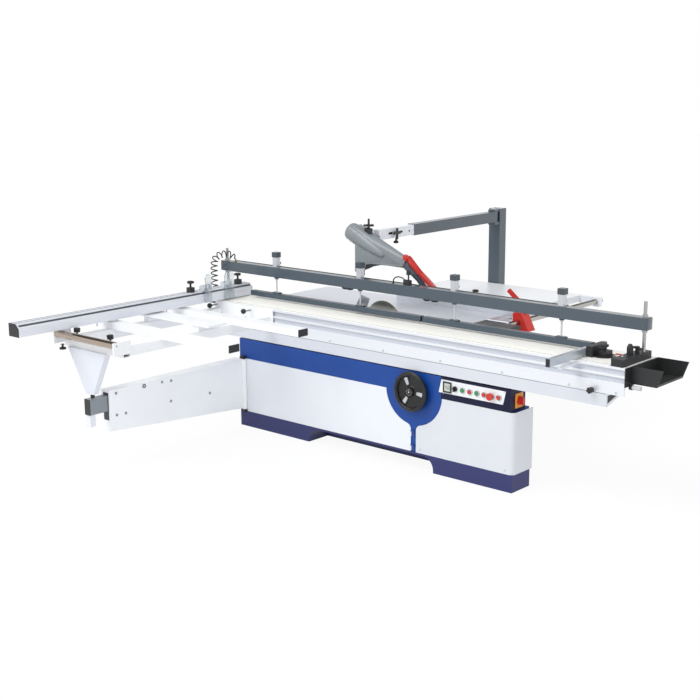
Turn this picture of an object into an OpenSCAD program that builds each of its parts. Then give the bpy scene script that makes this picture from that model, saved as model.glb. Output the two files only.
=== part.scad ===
// Sliding table saw with crosscut outrigger, overhead guard and air clamping beam.
// Millimetres. X runs along the table travel, Y to the back of the machine, Z up.
// The origin is the centre of the floor bolt pattern, on the floor.

/* [Base] */
// Length of the plinth along the table travel
base_len = 2270; // [2200:5:2340]
// Depth of the front plinth
plinth_depth = 186; // [170:1:196]
// Height of the plinth
plinth_h = 108; // [96:1:116]
// Length of the left plinth foot
foot_left = 650; // [600:5:700]
// Length of the right plinth foot
foot_right = 578; // [550:2:620]
// Spacing of the floor bolts along the travel
bolt_span_x = 1200; // [1180:5:1220]
// Spacing of the floor bolts across the machine
bolt_span_y = 740; // [720:5:750]
// Diameter of the floor bolt holes
bolt_d = 18; // [14:1:22]

/* [Cabinet] */
// Depth of the front cabinet
cabinet_depth = 200; // [192:1:205]
// Height of the cabinet top above the floor
cabinet_top = 620; // [610:1:626]
// Height of the band under the cabinet top
band_h = 136; // [126:1:140]
// Sheet thickness of the cabinet and the saw housing
sheet = 5; // [3:0.5:6]
// Sheet thickness of the front covers
panel_t = 3; // [2:0.5:4]
// Radius of the round field behind the handwheel
disc_r = 219; // [200:1:225]
// Outside diameter of the handwheel
wheel_d = 244; // [200:2:260]

/* [Tables] */
// Height of the work surface above the floor
table_z = 860; // [856:1:866]
// Thickness of the cast main table
table_t = 30; // [26:1:32]
// Depth of the cast main table
main_depth = 553; // [520:1:580]
// Depth of the extension table
extension_depth = 893; // [800:1:950]
// Diameter of the rip fence guide bar
guide_d = 40; // [30:1:44]

/* [Sliding table] */
// Length of the sliding table
carriage_len = 3200; // [3100:10:3300]
// Width of the sliding table
carriage_w = 360; // [340:1:375]
// Length of the fixed rail under the sliding table
rail_len = 3100; // [3000:10:3200]

/* [Saw] */
// Diameter of the main saw blade
blade_d = 300; // [250:5:304]
// Diameter of the scoring blade
scoring_d = 120; // [100:5:124]
// Diameter of the main motor
motor_d = 184; // [160:2:190]

/* [Guard] */
// Width of the guard post
post_w = 96; // [86:1:110]
// Depth of the guard post
post_d = 80; // [70:1:100]
// Height of the guard post
post_h = 1416; // [1410:1:1450]
// Width of the guard arm tube
boom_w = 60; // [54:1:64]

/* [Press beam] */
// How much longer the press beam is than the sliding table
beam_over = 175; // [150:1:200]
// Depth of the press beam
beam_w = 60; // [54:1:64]
// Height of the press beam section
beam_h = 69; // [60:1:74]
// Distance of the first air cylinder from the left end of the sliding table
cylinder_inset = 349; // [330:1:360]
// Outside diameter of the air cylinders
cylinder_d = 60; // [50:1:60]
// Width of the press bars
bar_w = 40; // [34:1:44]
// Height of the press bars
bar_h = 35; // [30:1:40]

/* [Outrigger] */
// Length of the two support tubes of the outrigger
support_len = 1233; // [1180:1:1260]
// Diameter of the outer support roller
roller_d = 48; // [40:1:50]
// Width of the crosscut fence
fence_w = 97; // [90:1:100]
// Height of the crosscut fence
fence_h = 80; // [70:1:84]
// Length of the crosscut fence
fence_len = 1950; // [1880:2:1990]
// Width of the swinging support arm
arm_w = 80; // [76:1:90]

/* [Controls] */
// Diameter of the push buttons
button_d = 24; // [18:1:26]
// Diameter of the emergency stop head
stop_d = 44; // [36:1:46]

/* [Hidden] */
$fn = 48;
fit = 0.05;
gap = 0.3;
slide_gap = 0.5;

// Base and cabinet planes
front_y = -bolt_span_y / 2 - 60;
base_x = [-base_len / 2, base_len / 2];
plinth_y = [front_y, front_y + plinth_depth];
floor_t = 12;
plinth_wall = 10;
sill_t = 13;
arch_r = 80;
band_z = cabinet_top - band_h;
notch_x = base_x[0] + 66;
shell_y = [front_y + panel_t + slide_gap, front_y + cabinet_depth];
shell_x1 = base_x[1] - 23;
cover_x1 = base_x[1] + 5;
cover_r = 30;
disc_x = 402;
disc_z = 498;
stem_w = 40;
stem_fillet = 40;
housing_x = [-900, 480];
housing_y1 = front_y + 910;

// Controls
control_x = [base_x[1] - 522, base_x[1] - 19];
control_y = [front_y, front_y + 150];
control_z = [band_z, cabinet_top - 1];
fascia_t = 2;
fascia_y = [front_y - fascia_t, front_y];
fascia_x = control_x[0] + 3;
button_x = control_x[0] + 163;
button_z = band_z + 79;
button_pitch = 52;
button_travel = 5;
bezel_h = 8;
isolator_y = front_y + 82;
isolator_z = band_z + 61;

// Tables
deck_z = table_z - table_t;
carriage_y = [front_y, front_y + carriage_w];
table_y = [carriage_y[1] + 4, carriage_y[1] + 4 + main_depth];
table_x = [-1130, 495];
strip_t = 8;
extension_x = [-620, table_x[1]];
extension_y = [table_y[1], table_y[1] + extension_depth];
extension_t = 45;
bracket_z = [table_z - 105, table_z - extension_t];
guide_x = table_x[1] + 125;
guide_z = table_z - 30;
shelf_y = [table_y[0] + 115, table_y[0] + 250];
guide_y = [shelf_y[1], extension_y[1] + 25];

// Saw unit, all measured from the tilt axis at the table surface
blade_x = -157;
blade_y = carriage_y[1] + 22;
blade_t = 3.2;
arbor_z = table_z - 69;
arbor_r = 15;
slot_x = [blade_x - 255, blade_x + 315];
saddle_x = [[blade_x - 343, blade_x - 323], [blade_x + 382, blade_x + 402]];
saddle_r = 110;
plate_x = [saddle_x[0][1] + 2, saddle_x[1][0] - 2];
plate_y = [blade_y + 48, blade_y + 68];
plate_z = [table_z - 260, table_z - 48];
lift_y = [plate_y[1] + gap, plate_y[1] + 16];
pulley_y = [blade_y + 120, blade_y + 146];
arbor_pulley_r = 26;
motor_pulley_r = 39;
belt_t = 8;
motor_x = blade_x + 97;
motor_z = table_z - 270;
motor_y = [pulley_y[1] + 12, pulley_y[1] + 242];
motor_shaft_r = 14;
scoring_x = blade_x + 235;
scoring_z = table_z + 2 - scoring_d / 2;
scoring_r = 8;
case_y = [blade_y + 108, blade_y + 128];
sector_r = [160, 200];
sector_x = [disc_x - 10, disc_x + 10];
gearbox_y = [blade_y - 62, blade_y + 68];
gearbox_z = [disc_z - 58, table_z - sector_r[1] - 2];
shaft_r = 10;

// Sliding table
carriage_x = [238 - carriage_len / 2, 238 + carriage_len / 2];
rail_x = [183 - rail_len / 2, 183 + rail_len / 2];
rail_z = 702;
carriage_z = rail_z + slide_gap;
body_y1 = front_y + 195;
wing_z = table_z - 20;
end_t = 6;
block_x = [carriage_x[1] - 86, carriage_x[1] - 13];
block_z = [table_z, table_z + 42];
tray_x = [carriage_x[1] + end_t, carriage_x[1] + 192];
tray_z = [table_z - 96, table_z];
tray_t = 3;
bracket_x = [carriage_x[0] - 218, carriage_x[0] - end_t - 0.2];

// Press beam
beam_x = [block_x[1] + 10 - carriage_len - beam_over, block_x[1] + 10];
beam_y = [front_y + 225, front_y + 225 + beam_w];
beam_mid = (beam_y[0] + beam_y[1]) / 2;
beam_z = [table_z + 167, table_z + 167 + beam_h];
post_x = [beam_x[0] + 35, beam_x[1] - 27];
post_r = 10;
nut_r = 18;
nut_h = 15;
cylinder_pitch = (carriage_len - 556 - cylinder_inset) / 3;
cylinder_x = [for (k = [0:3]) carriage_x[0] + cylinder_inset + k * cylinder_pitch];
cylinder_h = 103;
cap_h = 35;
stem_r = 5;
bar_z = [table_z + 15 + slide_gap, table_z + 15 + slide_gap + bar_h];
bar_left_x = [cylinder_x[0] - 237, cylinder_x[2] - 252];
bar_right_x = [cylinder_x[2] - 234, cylinder_x[3] + 208];
bar_y = [beam_mid - bar_w / 2, beam_mid + bar_w / 2];
stem_top = beam_z[1] + 12;
tube_r = 4;
valve_x = cylinder_x[1] + 394;

// Air hose, routed as distance outward from the beam fitting and height
hose_r = 4;
coil_r = 23;
coil_turns = 12;
hose_sides = 6;
hose_rings = 8;
hose_top = beam_z[1] + 8;
hose_low = table_z + 10;
hose_route = [[0, 0], [0, 10], [14, 27], [55, 42], [104, 40], [142, 16], [156, -24],
    [158, -64], [158, -104], [158, -144], [158, -184], [158, -210], [158, hose_low - hose_top]];
hose_dir = [-0.8216, -0.5701];
hose_start = [beam_x[0] + 120, beam_mid];
hose_foot = [for (k = [0, 1]) hose_start[k] + 158 * hose_dir[k]];

// Outrigger
support_x = [carriage_x[0] - 88, carriage_x[0] - 88 + support_len];
support_y = [front_y - 330, front_y - 918];
support_w = 80;
support_z = [table_z - 50, table_z - 5];
tube_wall = 3;
leg_x = [carriage_x[0] + 32, carriage_x[0] + 512];
leg_w = 60;
leg_z = [table_z - 110, table_z - 50 - 0.2];
cross_y = [front_y - 1270, front_y - 1220];
cross_x = [carriage_x[0] - 13, carriage_x[0] + 562];
cheek_t = 12;
roller_y = front_y - 1325;
roller_z = table_z - 2 - roller_d / 2;
axle_r = 6;
deck_x = [carriage_x[0] - 18, carriage_x[0] + 652];
deck_y = [front_y - 660, front_y - 500];
clamp_plate_x = [carriage_x[0] + 2, carriage_x[0] + 562];

// Crosscut fence
fence_x = [carriage_x[0] + 62 - fence_w, carriage_x[0] + 62];
fence_mid = (fence_x[0] + fence_x[1]) / 2;
fence_y = [front_y + 300 - fence_len, front_y + 300];
fence_z = [table_z + 8, table_z + 8 + fence_h];
fence_wall = 4;
pivot_y = front_y + 200;
pivot_r = 8;
stop_y = [front_y - 135, front_y + 62];
stop_w = [55, 86];
stop_axis = [fence_x[1] + 14, fence_z[1] + 42];

// Swinging support arm
hinge = [notch_x - 19, front_y - 6];
hinge_r = 9;
knuckle_r = 18;
lug_z = [plinth_h, plinth_h + 16];
arm_x = [hinge[0] - arm_w, hinge[0]];
arm_mid = (arm_x[0] + arm_x[1]) / 2;
arm_y = [front_y - 1170, front_y - 10];
arm_z = [lug_z[1] + 6, band_z - 4];
arm_wall = 4;
inner_w = 50;
inner_z = [arm_z[0] + 217, arm_z[0] + 317];
inner_y = [front_y - 1305, front_y - 560];
ball_y = front_y - 1265;
ball_r = 14;
tip_z = inner_z[1] + 28;
tri_y = [ball_y - 20, ball_y + 20];

// Guard
post_mid = -285;
post_y = [extension_y[1] + 10, extension_y[1] + 10 + post_d];
boom_z = [post_h - 94, post_h - 18];
swivel = [post_mid + 15, post_y[0] - 35];
swivel_r = 10;
boom_wall = 4;
boom_y0 = blade_y + 430;
slide_y = [blade_y + 60, blade_y + 608];
hood_y = [blade_y - 45, blade_y + 53];
hood_wall = 4;
hood_z = boom_z[0];
spigot_r = 60;

// Rip fence
rip_y = [carriage_y[1] + 455, carriage_y[1] + 505];
rip_mid = (rip_y[0] + rip_y[1]) / 2;
rip_x = [-400, guide_x - 40];
rip_z = [table_z + slide_gap, table_z + 72];
lever_axis = [guide_x - 4, guide_z + 62];

// Mitre fence
mitre_axis = [carriage_x[1] - 238, front_y + 190];
mitre_x = [mitre_axis[0] - 92, mitre_axis[0] - 68];
mitre_y = [front_y - 258, front_y + 340];
mitre_z = [table_z + 6, table_z + 50];

// Colours
navy = [0.20, 0.21, 0.36];
blue = [0.16, 0.28, 0.58];
pale = [0.90, 0.91, 0.93];
slate = [0.34, 0.39, 0.44];
grey = [0.55, 0.56, 0.58];
iron = [0.62, 0.63, 0.72];
cream = [0.90, 0.88, 0.82];
alloy = [0.76, 0.78, 0.82];
steel = [0.70, 0.71, 0.73];
black = [0.07, 0.07, 0.08];
red = [0.75, 0.08, 0.08];
green = [0.06, 0.50, 0.22];

// Building blocks
module span(x, y, z) {
    translate([x[0], y[0], z[0]])
        cube([x[1] - x[0], y[1] - y[0], z[1] - z[0]]);
}

module rod_x(x, y, z, r) {
    translate([x[0], y, z])
        rotate([0, 90, 0])
            cylinder(h = x[1] - x[0], r = r);
}

module rod_y(x, y, z, r) {
    translate([x, y[0], z])
        rotate([-90, 0, 0])
            cylinder(h = y[1] - y[0], r = r);
}

module rod_z(x, y, z, r) {
    translate([x, y, z[0]])
        cylinder(h = z[1] - z[0], r = r);
}

module along_x(x) {
    translate([x[0], 0, 0])
        rotate([90, 0, 90])
            linear_extrude(x[1] - x[0])
                children();
}

module along_y(y) {
    translate([0, y[1], 0])
        rotate([90, 0, 0])
            linear_extrude(y[1] - y[0])
                children();
}

module rect(x, y) {
    translate([x[0], y[0]])
        square([x[1] - x[0], y[1] - y[0]]);
}

function wider(s, d) = [s[0] - d, s[1] + d];

module tube_x(x, y, z, wall) {
    difference() {
        span(x, y, z);
        span(wider(x, 1), wider(y, -wall), wider(z, -wall));
    }
}

module tube_y(x, y, z, wall) {
    difference() {
        span(x, y, z);
        span(wider(x, -wall), wider(y, 1), wider(z, -wall));
    }
}

module sector_x(x, r, a) {
    translate([x[0], blade_y, table_z])
        rotate([0, 90, 0])
            rotate([0, 0, a[0]])
                rotate_extrude(angle = a[1] - a[0], $fn = 96)
                    translate([r[0], 0])
                        square([r[1] - r[0], x[1] - x[0]]);
}

module knob_z(x, y, z, r, h) {
    rod_z(x, y, [z, z + h - 12], r * 0.32);
    rod_z(x, y, [z + h - 12, z + h], r);
}

// Base
module arch_outline() {
    arch_x = [base_x[0] + foot_left, base_x[1] - foot_right];
    arch_z = plinth_h - sill_t;
    rect(arch_x, [-1, arch_z - arch_r]);
    rect(wider(arch_x, -arch_r), [-1, arch_z]);
    for (x = wider(arch_x, -arch_r))
        translate([x, arch_z - arch_r])
            circle(arch_r);
}

module plinth() {
    rear_y = [plinth_y[1], housing_y1];
    ear_y = [bolt_span_y / 2 - 40, bolt_span_y / 2 + 40];
    color(navy)
    difference() {
        union() {
            difference() {
                along_y(plinth_y)
                    difference() {
                        rect(base_x, [0, plinth_h]);
                        arch_outline();
                    }
                for (x = [[base_x[0], base_x[0] + foot_left - arch_r], [base_x[1] - foot_right + arch_r, base_x[1]]])
                    span(wider(x, -plinth_wall), wider(plinth_y, -plinth_wall), [floor_t, plinth_h + 1]);
            }
            difference() {
                span(housing_x, rear_y, [0, plinth_h]);
                span(wider(housing_x, -plinth_wall), wider(rear_y, -plinth_wall), [floor_t, plinth_h + 1]);
                span(wider(housing_x, -450), wider(rear_y, -160), [-1, floor_t + 1]);
            }
            span([housing_x[1], bolt_span_x / 2 + 40], ear_y, [0, floor_t]);
        }
        for (x = [-1, 1], y = [-1, 1])
            rod_z(x * bolt_span_x / 2, y * bolt_span_y / 2, [-1, floor_t + 1], bolt_d / 2);
        span([bolt_span_x / 2 - 25, base_x[1] - foot_right + arch_r], [-bolt_span_y / 2 - 30, -bolt_span_y / 2 + 30],
            [floor_t, plinth_h + 1]);
    }
}

module wheel_field() {
    translate([disc_x, disc_z])
        circle(disc_r, $fn = 96);
    rect([disc_x - stem_w / 2, disc_x + stem_w / 2], [0, disc_z]);
    drop = sqrt(pow(disc_r + stem_fillet, 2) - pow(stem_w / 2 + stem_fillet, 2));
    for (side = [-1, 1])
        difference() {
            polygon([
                [disc_x, disc_z],
                [disc_x, disc_z - drop],
                [disc_x + side * (stem_w / 2 + stem_fillet), disc_z - drop]
            ]);
            translate([disc_x + side * (stem_w / 2 + stem_fillet), disc_z - drop])
                circle(stem_fillet);
        }
}

module shell_outline(d) {
    polygon([
        [base_x[0] + d, band_z + d],
        [base_x[0] + d, cabinet_top - d],
        [control_x[0] - d, cabinet_top - d],
        [control_x[0] - d, band_z - d],
        [shell_x1 - d, band_z - d],
        [shell_x1 - d, plinth_h + d],
        [notch_x + d, plinth_h + d],
        [notch_x + d, band_z + d]
    ]);
}

module cabinet_shell() {
    color(blue)
    difference() {
        along_y(shell_y)
            shell_outline(0);
        along_y(wider(shell_y, -sheet))
            shell_outline(sheet);
        span(wider(housing_x, -40), [shell_y[1] - sheet - 1, shell_y[1] + 1], [plinth_h + 40, cabinet_top - 30]);
        rod_y(disc_x, wider([shell_y[0], shell_y[0] + sheet], 1), disc_z, shaft_r + 2);
    }
}

module cover_outline(d) {
    x = [disc_x + stem_w / 2, cover_x1 - d];
    y = [front_y + d, shell_y[1] + d];
    r = cover_r - d;
    rect([x[0] - d, x[1] - r], y);
    rect([x[0], x[1]], [y[0] + r, y[1]]);
    translate([x[1] - r, y[0] + r])
        circle(r);
}

module right_cover() {
    color(pale)
    difference() {
        translate([0, 0, plinth_h])
            linear_extrude(band_z - plinth_h)
                difference() {
                    cover_outline(0);
                    cover_outline(panel_t);
                }
        along_y([front_y - 1, front_y + panel_t + 1])
            wheel_field();
        span([0, disc_x + stem_w / 2], [front_y - 1, shell_y[1] + panel_t + 1], [plinth_h - 1, band_z + 1]);
    }
}

module saw_housing() {
    edge_y = blade_y + 10;
    back_y = [housing_y1 - sheet, housing_y1];
    wall_y1 = back_y[0] - 0.2;
    wall_z = [rail_z - 12, deck_z];
    outlet_z = 350;
    color(pale) {
        for (x = [[housing_x[0], housing_x[0] + sheet], [housing_x[1] - sheet, housing_x[1]]])
            along_x(x)
                polygon([
                    [shell_y[1], plinth_h],
                    [shell_y[1], wall_z[0]],
                    [edge_y, wall_z[0]],
                    [edge_y, wall_z[1]],
                    [wall_y1, wall_z[1]],
                    [wall_y1, plinth_h]
                ]);
        difference() {
            union() {
                span(housing_x, back_y, [plinth_h, deck_z]);
                rod_y(blade_x, [housing_y1, housing_y1 + 60], outlet_z, 60);
            }
            rod_y(blade_x, [back_y[0] - 1, housing_y1 + 61], outlet_z, 56);
        }
        difference() {
            span([sector_x[0] - 14, housing_x[1] - sheet - 0.2], gearbox_y, gearbox_z);
            rod_y(disc_x, [gearbox_y[0] - 1, gearbox_y[0] + 50], disc_z, shaft_r + fit);
        }
    }
}

module main_table() {
    edge_y = blade_y + 10;
    color(iron) {
        difference() {
            union() {
                span(table_x, [edge_y, table_y[1]], [deck_z, table_z]);
                span(table_x, [table_y[0], edge_y], [table_z - strip_t, table_z]);
            }
            span(slot_x, [table_y[0] + 6, edge_y], [deck_z, table_z + 1]);
        }
        for (x = saddle_x)
            difference() {
                union() {
                    span(x, [edge_y, edge_y + 130], [table_z - 145, deck_z]);
                    span(x, [edge_y - 70, edge_y], [table_z - 145, table_z - 80]);
                }
                rod_x(wider(x, 1), blade_y, table_z, saddle_r + gap);
            }
    }
}

module extension_table() {
    x = extension_x;
    y = extension_y;
    rim_z = [table_z - extension_t, table_z - sheet - 0.2];
    color(pale) {
        span(x, y, [table_z - sheet, table_z]);
        for (side = [[y[0], y[0] + sheet], [y[1] - sheet, y[1]]])
            span(x, side, rim_z);
        for (side = [[x[0], x[0] + sheet], [x[1] - sheet, x[1]]])
            span(side, wider(y, -sheet - 0.2), rim_z);
    }
}

module table_brackets() {
    tube_w = 50;
    foot = 34;
    shelf_x = [table_x[1], table_x[1] + 270];
    color(pale) {
        tube_y([post_mid - tube_w / 2, post_mid + tube_w / 2], [housing_y1, post_y[0]], bracket_z, tube_wall);
        tube_y([300, 300 + tube_w], [housing_y1, extension_y[1]], bracket_z, tube_wall);
        for (y = [guide_y[0], guide_y[1] - 70])
            difference() {
                span([table_x[1], guide_x + foot], [y, y + foot], [guide_z - foot, guide_z + foot - 4]);
                rod_y(guide_x, [y - 1, y + foot + 1], guide_z, guide_d / 2 + 2 * fit);
            }
    }
    color(black)
    span(shelf_x, shelf_y, [table_z - 24, table_z - 2]);
}

module guard_post() {
    x = [post_mid - post_w / 2, post_mid + post_w / 2];
    lug_x = [swivel[0] - boom_w / 2, swivel[0] + boom_w / 2];
    color(slate) {
        difference() {
            union() {
                span(x, post_y, [floor_t + 0.2, post_h]);
                span(wider(x, 60), wider(post_y, 60), [0, floor_t]);
            }
            span(wider(x, -sheet), wider(post_y, -sheet), [-1, post_h - sheet]);
        }
        for (z = [[boom_z[0] - 20, boom_z[0] - gap], [boom_z[1] + gap, boom_z[1] + 16]])
            span(lug_x, [swivel[1] - 25, post_y[0] - 0.2], z);
        rod_z(swivel[0], swivel[1], [boom_z[0] - 20, boom_z[1] + 16], swivel_r);
    }
}

module rail_outline() {
    polygon([
        [front_y, rail_z],
        [front_y, rail_z - 74],
        [front_y + 12, rail_z - 76],
        [front_y + 140, rail_z - 40],
        [front_y + 190, rail_z - 40],
        [front_y + 190, rail_z]
    ]);
    rect([front_y + 85, front_y + 115], [rail_z, rail_z + 48]);
    for (y = [front_y + 80, front_y + 120])
        translate([y, rail_z + 34])
            circle(8);
}

module rail_hollow(d) {
    polygon([
        [front_y + 14 + d, rail_z - 14 - d],
        [front_y + 14 + d, rail_z - 58 + d],
        [front_y + 126 - 2 * d, rail_z - 28 + d],
        [front_y + 150 - d, rail_z - 28 + d],
        [front_y + 150 - d, rail_z - 14 - d]
    ]);
}

module slide_rail() {
    color(alloy) {
        along_x(rail_x)
            difference() {
                rail_outline();
                rail_hollow(0);
            }
        span(wider(base_x, -35), [front_y + 140, front_y + 190], [cabinet_top, rail_z - 40]);
    }
}

module rail_end_caps() {
    depth = 12;
    color(black)
    for (x = [[rail_x[0], rail_x[0] + depth], [rail_x[1] - depth, rail_x[1]]])
        along_x(x)
            rail_hollow(0.2);
}

module guide_bar() {
    color(steel)
    rod_y(guide_x, guide_y, guide_z, guide_d / 2);
}

module control_box() {
    plate_y = [isolator_y - 38, isolator_y + 38];
    plate_z = [isolator_z - 42, isolator_z + 42];
    color(navy)
    difference() {
        union() {
            span(control_x, control_y, control_z);
            span([control_x[1], control_x[1] + 4], plate_y, plate_z);
        }
        rod_x([control_x[1] - 20, control_x[1] + 5], isolator_y, isolator_z, 6 + fit);
        for (x = concat([button_x - 56], [for (k = [0:5]) button_x + k * button_pitch]))
            rod_y(x, [front_y - 1, front_y + 26], button_z, 8 + fit);
    }
}

module control_fascia() {
    lean = 19;
    z = [band_z + 40, band_z + 122];
    color(alloy)
    difference() {
        union() {
            along_y(fascia_y)
                polygon([
                    [fascia_x - lean, z[0]],
                    [fascia_x + 447, z[0]],
                    [fascia_x + 447 + lean, z[1]],
                    [fascia_x, z[1]]
                ]);
            for (k = [0:5])
                rod_y(button_x + k * button_pitch, [fascia_y[0] - bezel_h, fascia_y[0]], button_z, button_d / 2 + 5);
            span([fascia_x + 20, fascia_x + 78], [fascia_y[0] - 3, fascia_y[0]], [button_z - 31, button_z + 31]);
        }
        for (k = [0:5])
            rod_y(button_x + k * button_pitch, wider([fascia_y[0] - bezel_h, fascia_y[1]], 1), button_z, button_d / 2 + gap);
        rod_y(button_x - 56, wider(fascia_y, 1), button_z, 8 + fit);
    }
}

module hinge_lugs() {
    pad = 20;
    x = [hinge[0] - pad, hinge[0] + pad - 1.5];
    color(black) {
        span(x, [hinge[1] - pad, front_y + 10], lug_z);
        span(x, [hinge[1] - pad, shell_y[0]], [band_z, band_z + 16]);
        rod_z(hinge[0], hinge[1], [lug_z[0], band_z + 16], hinge_r);
        for (z = [plinth_h + 28, plinth_h + 118]) {
            span([disc_x - stem_w / 2 + 5, disc_x + 8], [front_y - 1, shell_y[0]], [z - 18, z + 18]);
            rod_z(disc_x - stem_w / 2 + 5, front_y - 6, [z - 18, z + 18], 2.5);
            span([disc_x - stem_w / 2 + 3, disc_x + 8], [front_y - 8, front_y - 1], [z + 12, z + 18]);
        }
    }
}

module access_door() {
    pin_x = disc_x - stem_w / 2 + 5;
    color(pale)
    difference() {
        union() {
            along_y([front_y, front_y + panel_t])
                difference() {
                    rect([notch_x, disc_x - stem_w / 2 - 1], [plinth_h + 1, band_z - 1]);
                    wheel_field();
                }
            for (z = [plinth_h + 28, plinth_h + 118]) {
                rod_z(pin_x, front_y - 6, [z - 18, z + 12 - gap], 4.5);
                span([pin_x - 16, pin_x - 3], [front_y - 4, front_y], [z - 18, z + 12 - gap]);
            }
        }
        for (z = [plinth_h + 28, plinth_h + 118])
            rod_z(pin_x, front_y - 6, [z - 19, z + 19], 2.5 + fit);
    }
}

// Sliding table
module table_outline() {
    y = carriage_y;
    polygon([
        [y[0], table_z],
        [y[0], table_z - 14],
        [y[0] + 12, table_z - 14],
        [y[0] + 12, table_z - 44],
        [y[0], table_z - 44],
        [y[0], table_z - 58],
        [y[0] + 10, table_z - 58],
        [y[0] + 10, table_z - 88],
        [y[0], table_z - 88],
        [y[0], carriage_z],
        [y[0] + 10, carriage_z],
        [y[0] + 10, carriage_z + 62],
        [body_y1, carriage_z + 62],
        [body_y1, wing_z],
        [y[1] - 14, wing_z],
        [y[1], table_z - 6],
        [y[1], table_z],
        [y[0] + 38, table_z],
        [y[0] + 38, table_z - 9],
        [y[0] + 26, table_z - 9],
        [y[0] + 26, table_z]
    ]);
}

module sliding_table() {
    bar_y = [front_y - 190, front_y + 4];
    color(cream) {
        along_x(carriage_x)
            difference() {
                table_outline();
                rect([front_y + 24, body_y1 - 12], [carriage_z + 74, table_z - 20]);
            }
        for (y = [[front_y + 6, front_y + 58], [front_y + 142, body_y1]])
            span([carriage_x[0] + 100, carriage_x[1] - 150], y, [carriage_z, carriage_z + 66]);
        rod_z(mitre_axis[0], mitre_axis[1], [table_z - 4, table_z + 22], 6);
        rod_z(fence_mid, pivot_y, [table_z - 1, table_z + 20], pivot_r);
        rod_z(fence_mid, pivot_y, [table_z - 1, fence_z[0] - gap], 26);
        span([mitre_x[1] + 10, mitre_x[1] + 28], bar_y, [table_z - 14, table_z - 4]);
    }
}

module table_fittings() {
    end_y = [front_y, body_y1];
    wing_y = [body_y1 - 5, front_y + 310];
    end_z = [table_z - 107, table_z - 2];
    knob_x = carriage_x[1] - 189;
    peg = [block_x[0] + 20, front_y + 168];
    peg_r = 18;
    lock = [block_x[0] + 43, front_y + 208];
    stay_y = front_y + 50;
    stay_z = table_z - 111;
    arm_y = [hose_foot[1] - 35, beam_mid + 40];
    color(black) {
        for (x = [carriage_x[0] - end_t, carriage_x[1]]) {
            span([x, x + end_t], end_y, end_z);
            span([x, x + end_t], wing_y, [wing_z, end_z[1]]);
        }
        difference() {
            span(block_x, [front_y, front_y + 315], block_z);
            rod_z(post_x[1], beam_mid, [block_z[0] + 5, block_z[1] + 1], post_r);
        }
        rod_z(peg[0], peg[1], [block_z[1], block_z[1] + 38], peg_r);
        translate([peg[0], peg[1], block_z[1] + 38])
            cylinder(h = 16, r1 = peg_r, r2 = peg_r - 8);
        translate([lock[0], lock[1], block_z[1] + 23])
            rotate([0, 0, 150])
                translate([-36, -10, 0])
                    cube([72, 20, 10]);
        rod_z(lock[0], lock[1], [block_z[1], block_z[1] + 38], 12);
        rod_x([carriage_x[1] + end_t + gap, carriage_x[1] + end_t + 18], stay_y, stay_z, 15);
        difference() {
            span(bracket_x, arm_y, [table_z - 60, table_z - 10]);
            rod_z(post_x[0], beam_mid, [table_z - 50, table_z - 9], post_r);
        }
        rod_z(hose_foot[0], hose_foot[1], [table_z - 10, hose_low - 0.2], hose_r + 3);
        rod_y(knob_x, [front_y - 34, front_y - 14], carriage_z + 12, 16);
        rod_y(knob_x, [front_y - 14, front_y], carriage_z + 12, 6);
    }
    color(steel)
    rod_x([carriage_x[1] + 10, carriage_x[1] + end_t + 68], stay_y, stay_z, 12);
}

module tray_side() {
    polygon([
        [tray_x[0], tray_z[0]],
        [tray_x[1] - 35, tray_z[0]],
        [tray_x[1], tray_z[1]],
        [tray_x[0], tray_z[1]]
    ]);
}

module end_tray() {
    y = [front_y + 65, carriage_y[1]];
    floor_z = tray_z[0] + tray_t;
    lip_x = tray_x[1] - 35;
    color(black) {
        for (side = [y[0], y[1] - tray_t])
            along_y([side, side + tray_t])
                tray_side();
        along_y(y) {
            rect([tray_x[0], tray_x[0] + tray_t], tray_z);
            rect([tray_x[0], lip_x], [tray_z[0], floor_z]);
            polygon([
                [lip_x - tray_t, tray_z[0]],
                [lip_x, tray_z[0]],
                [lip_x + 6, tray_z[0] + 16],
                [lip_x + 6 - tray_t, tray_z[0] + 16]
            ]);
        }
    }
}

// Press beam and air clamps
module press_beam() {
    color(slate)
    difference() {
        tube_x(beam_x, beam_y, beam_z, boom_wall);
        for (x = post_x)
            rod_z(x, beam_mid, wider(beam_z, 1), post_r + fit);
        for (x = cylinder_x)
            rod_z(x, beam_mid, wider(beam_z, 1), stem_r + 1);
    }
}

module beam_posts() {
    foot_z = [table_z - 50, block_z[0] + 5];
    color(steel)
    for (k = [0, 1]) {
        rod_z(post_x[k], beam_mid, [foot_z[k], beam_z[1] + 88], post_r);
        difference() {
            union() {
                rod_z(post_x[k], beam_mid, [beam_z[0] - nut_h, beam_z[0]], nut_r, $fn = 6);
                rod_z(post_x[k], beam_mid, [beam_z[1], beam_z[1] + nut_h], nut_r, $fn = 6);
            }
            rod_z(post_x[k], beam_mid, wider(beam_z, 20), post_r);
        }
    }
}

module air_cylinders() {
    top = beam_z[1] + cylinder_h;
    body = cylinder_d * 0.31;
    cap = cylinder_d * 0.37;
    color(steel)
    for (x = cylinder_x) {
        difference() {
            union() {
                span(wider([x, x], body), wider([beam_mid, beam_mid], body), [beam_z[1], top - cap_h]);
                span(wider([x, x], cap), wider([beam_mid, beam_mid], cap), [top - cap_h, top]);
            }
            rod_z(x, beam_mid, [beam_z[1] - 1, top - 8], stem_r + fit);
        }
        difference() {
            rod_z(x, beam_mid, [beam_z[0] - 12, beam_z[0]], 16);
            rod_z(x, beam_mid, [beam_z[0] - 13, beam_z[0] + 1], stem_r + fit);
        }
    }
}

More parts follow.
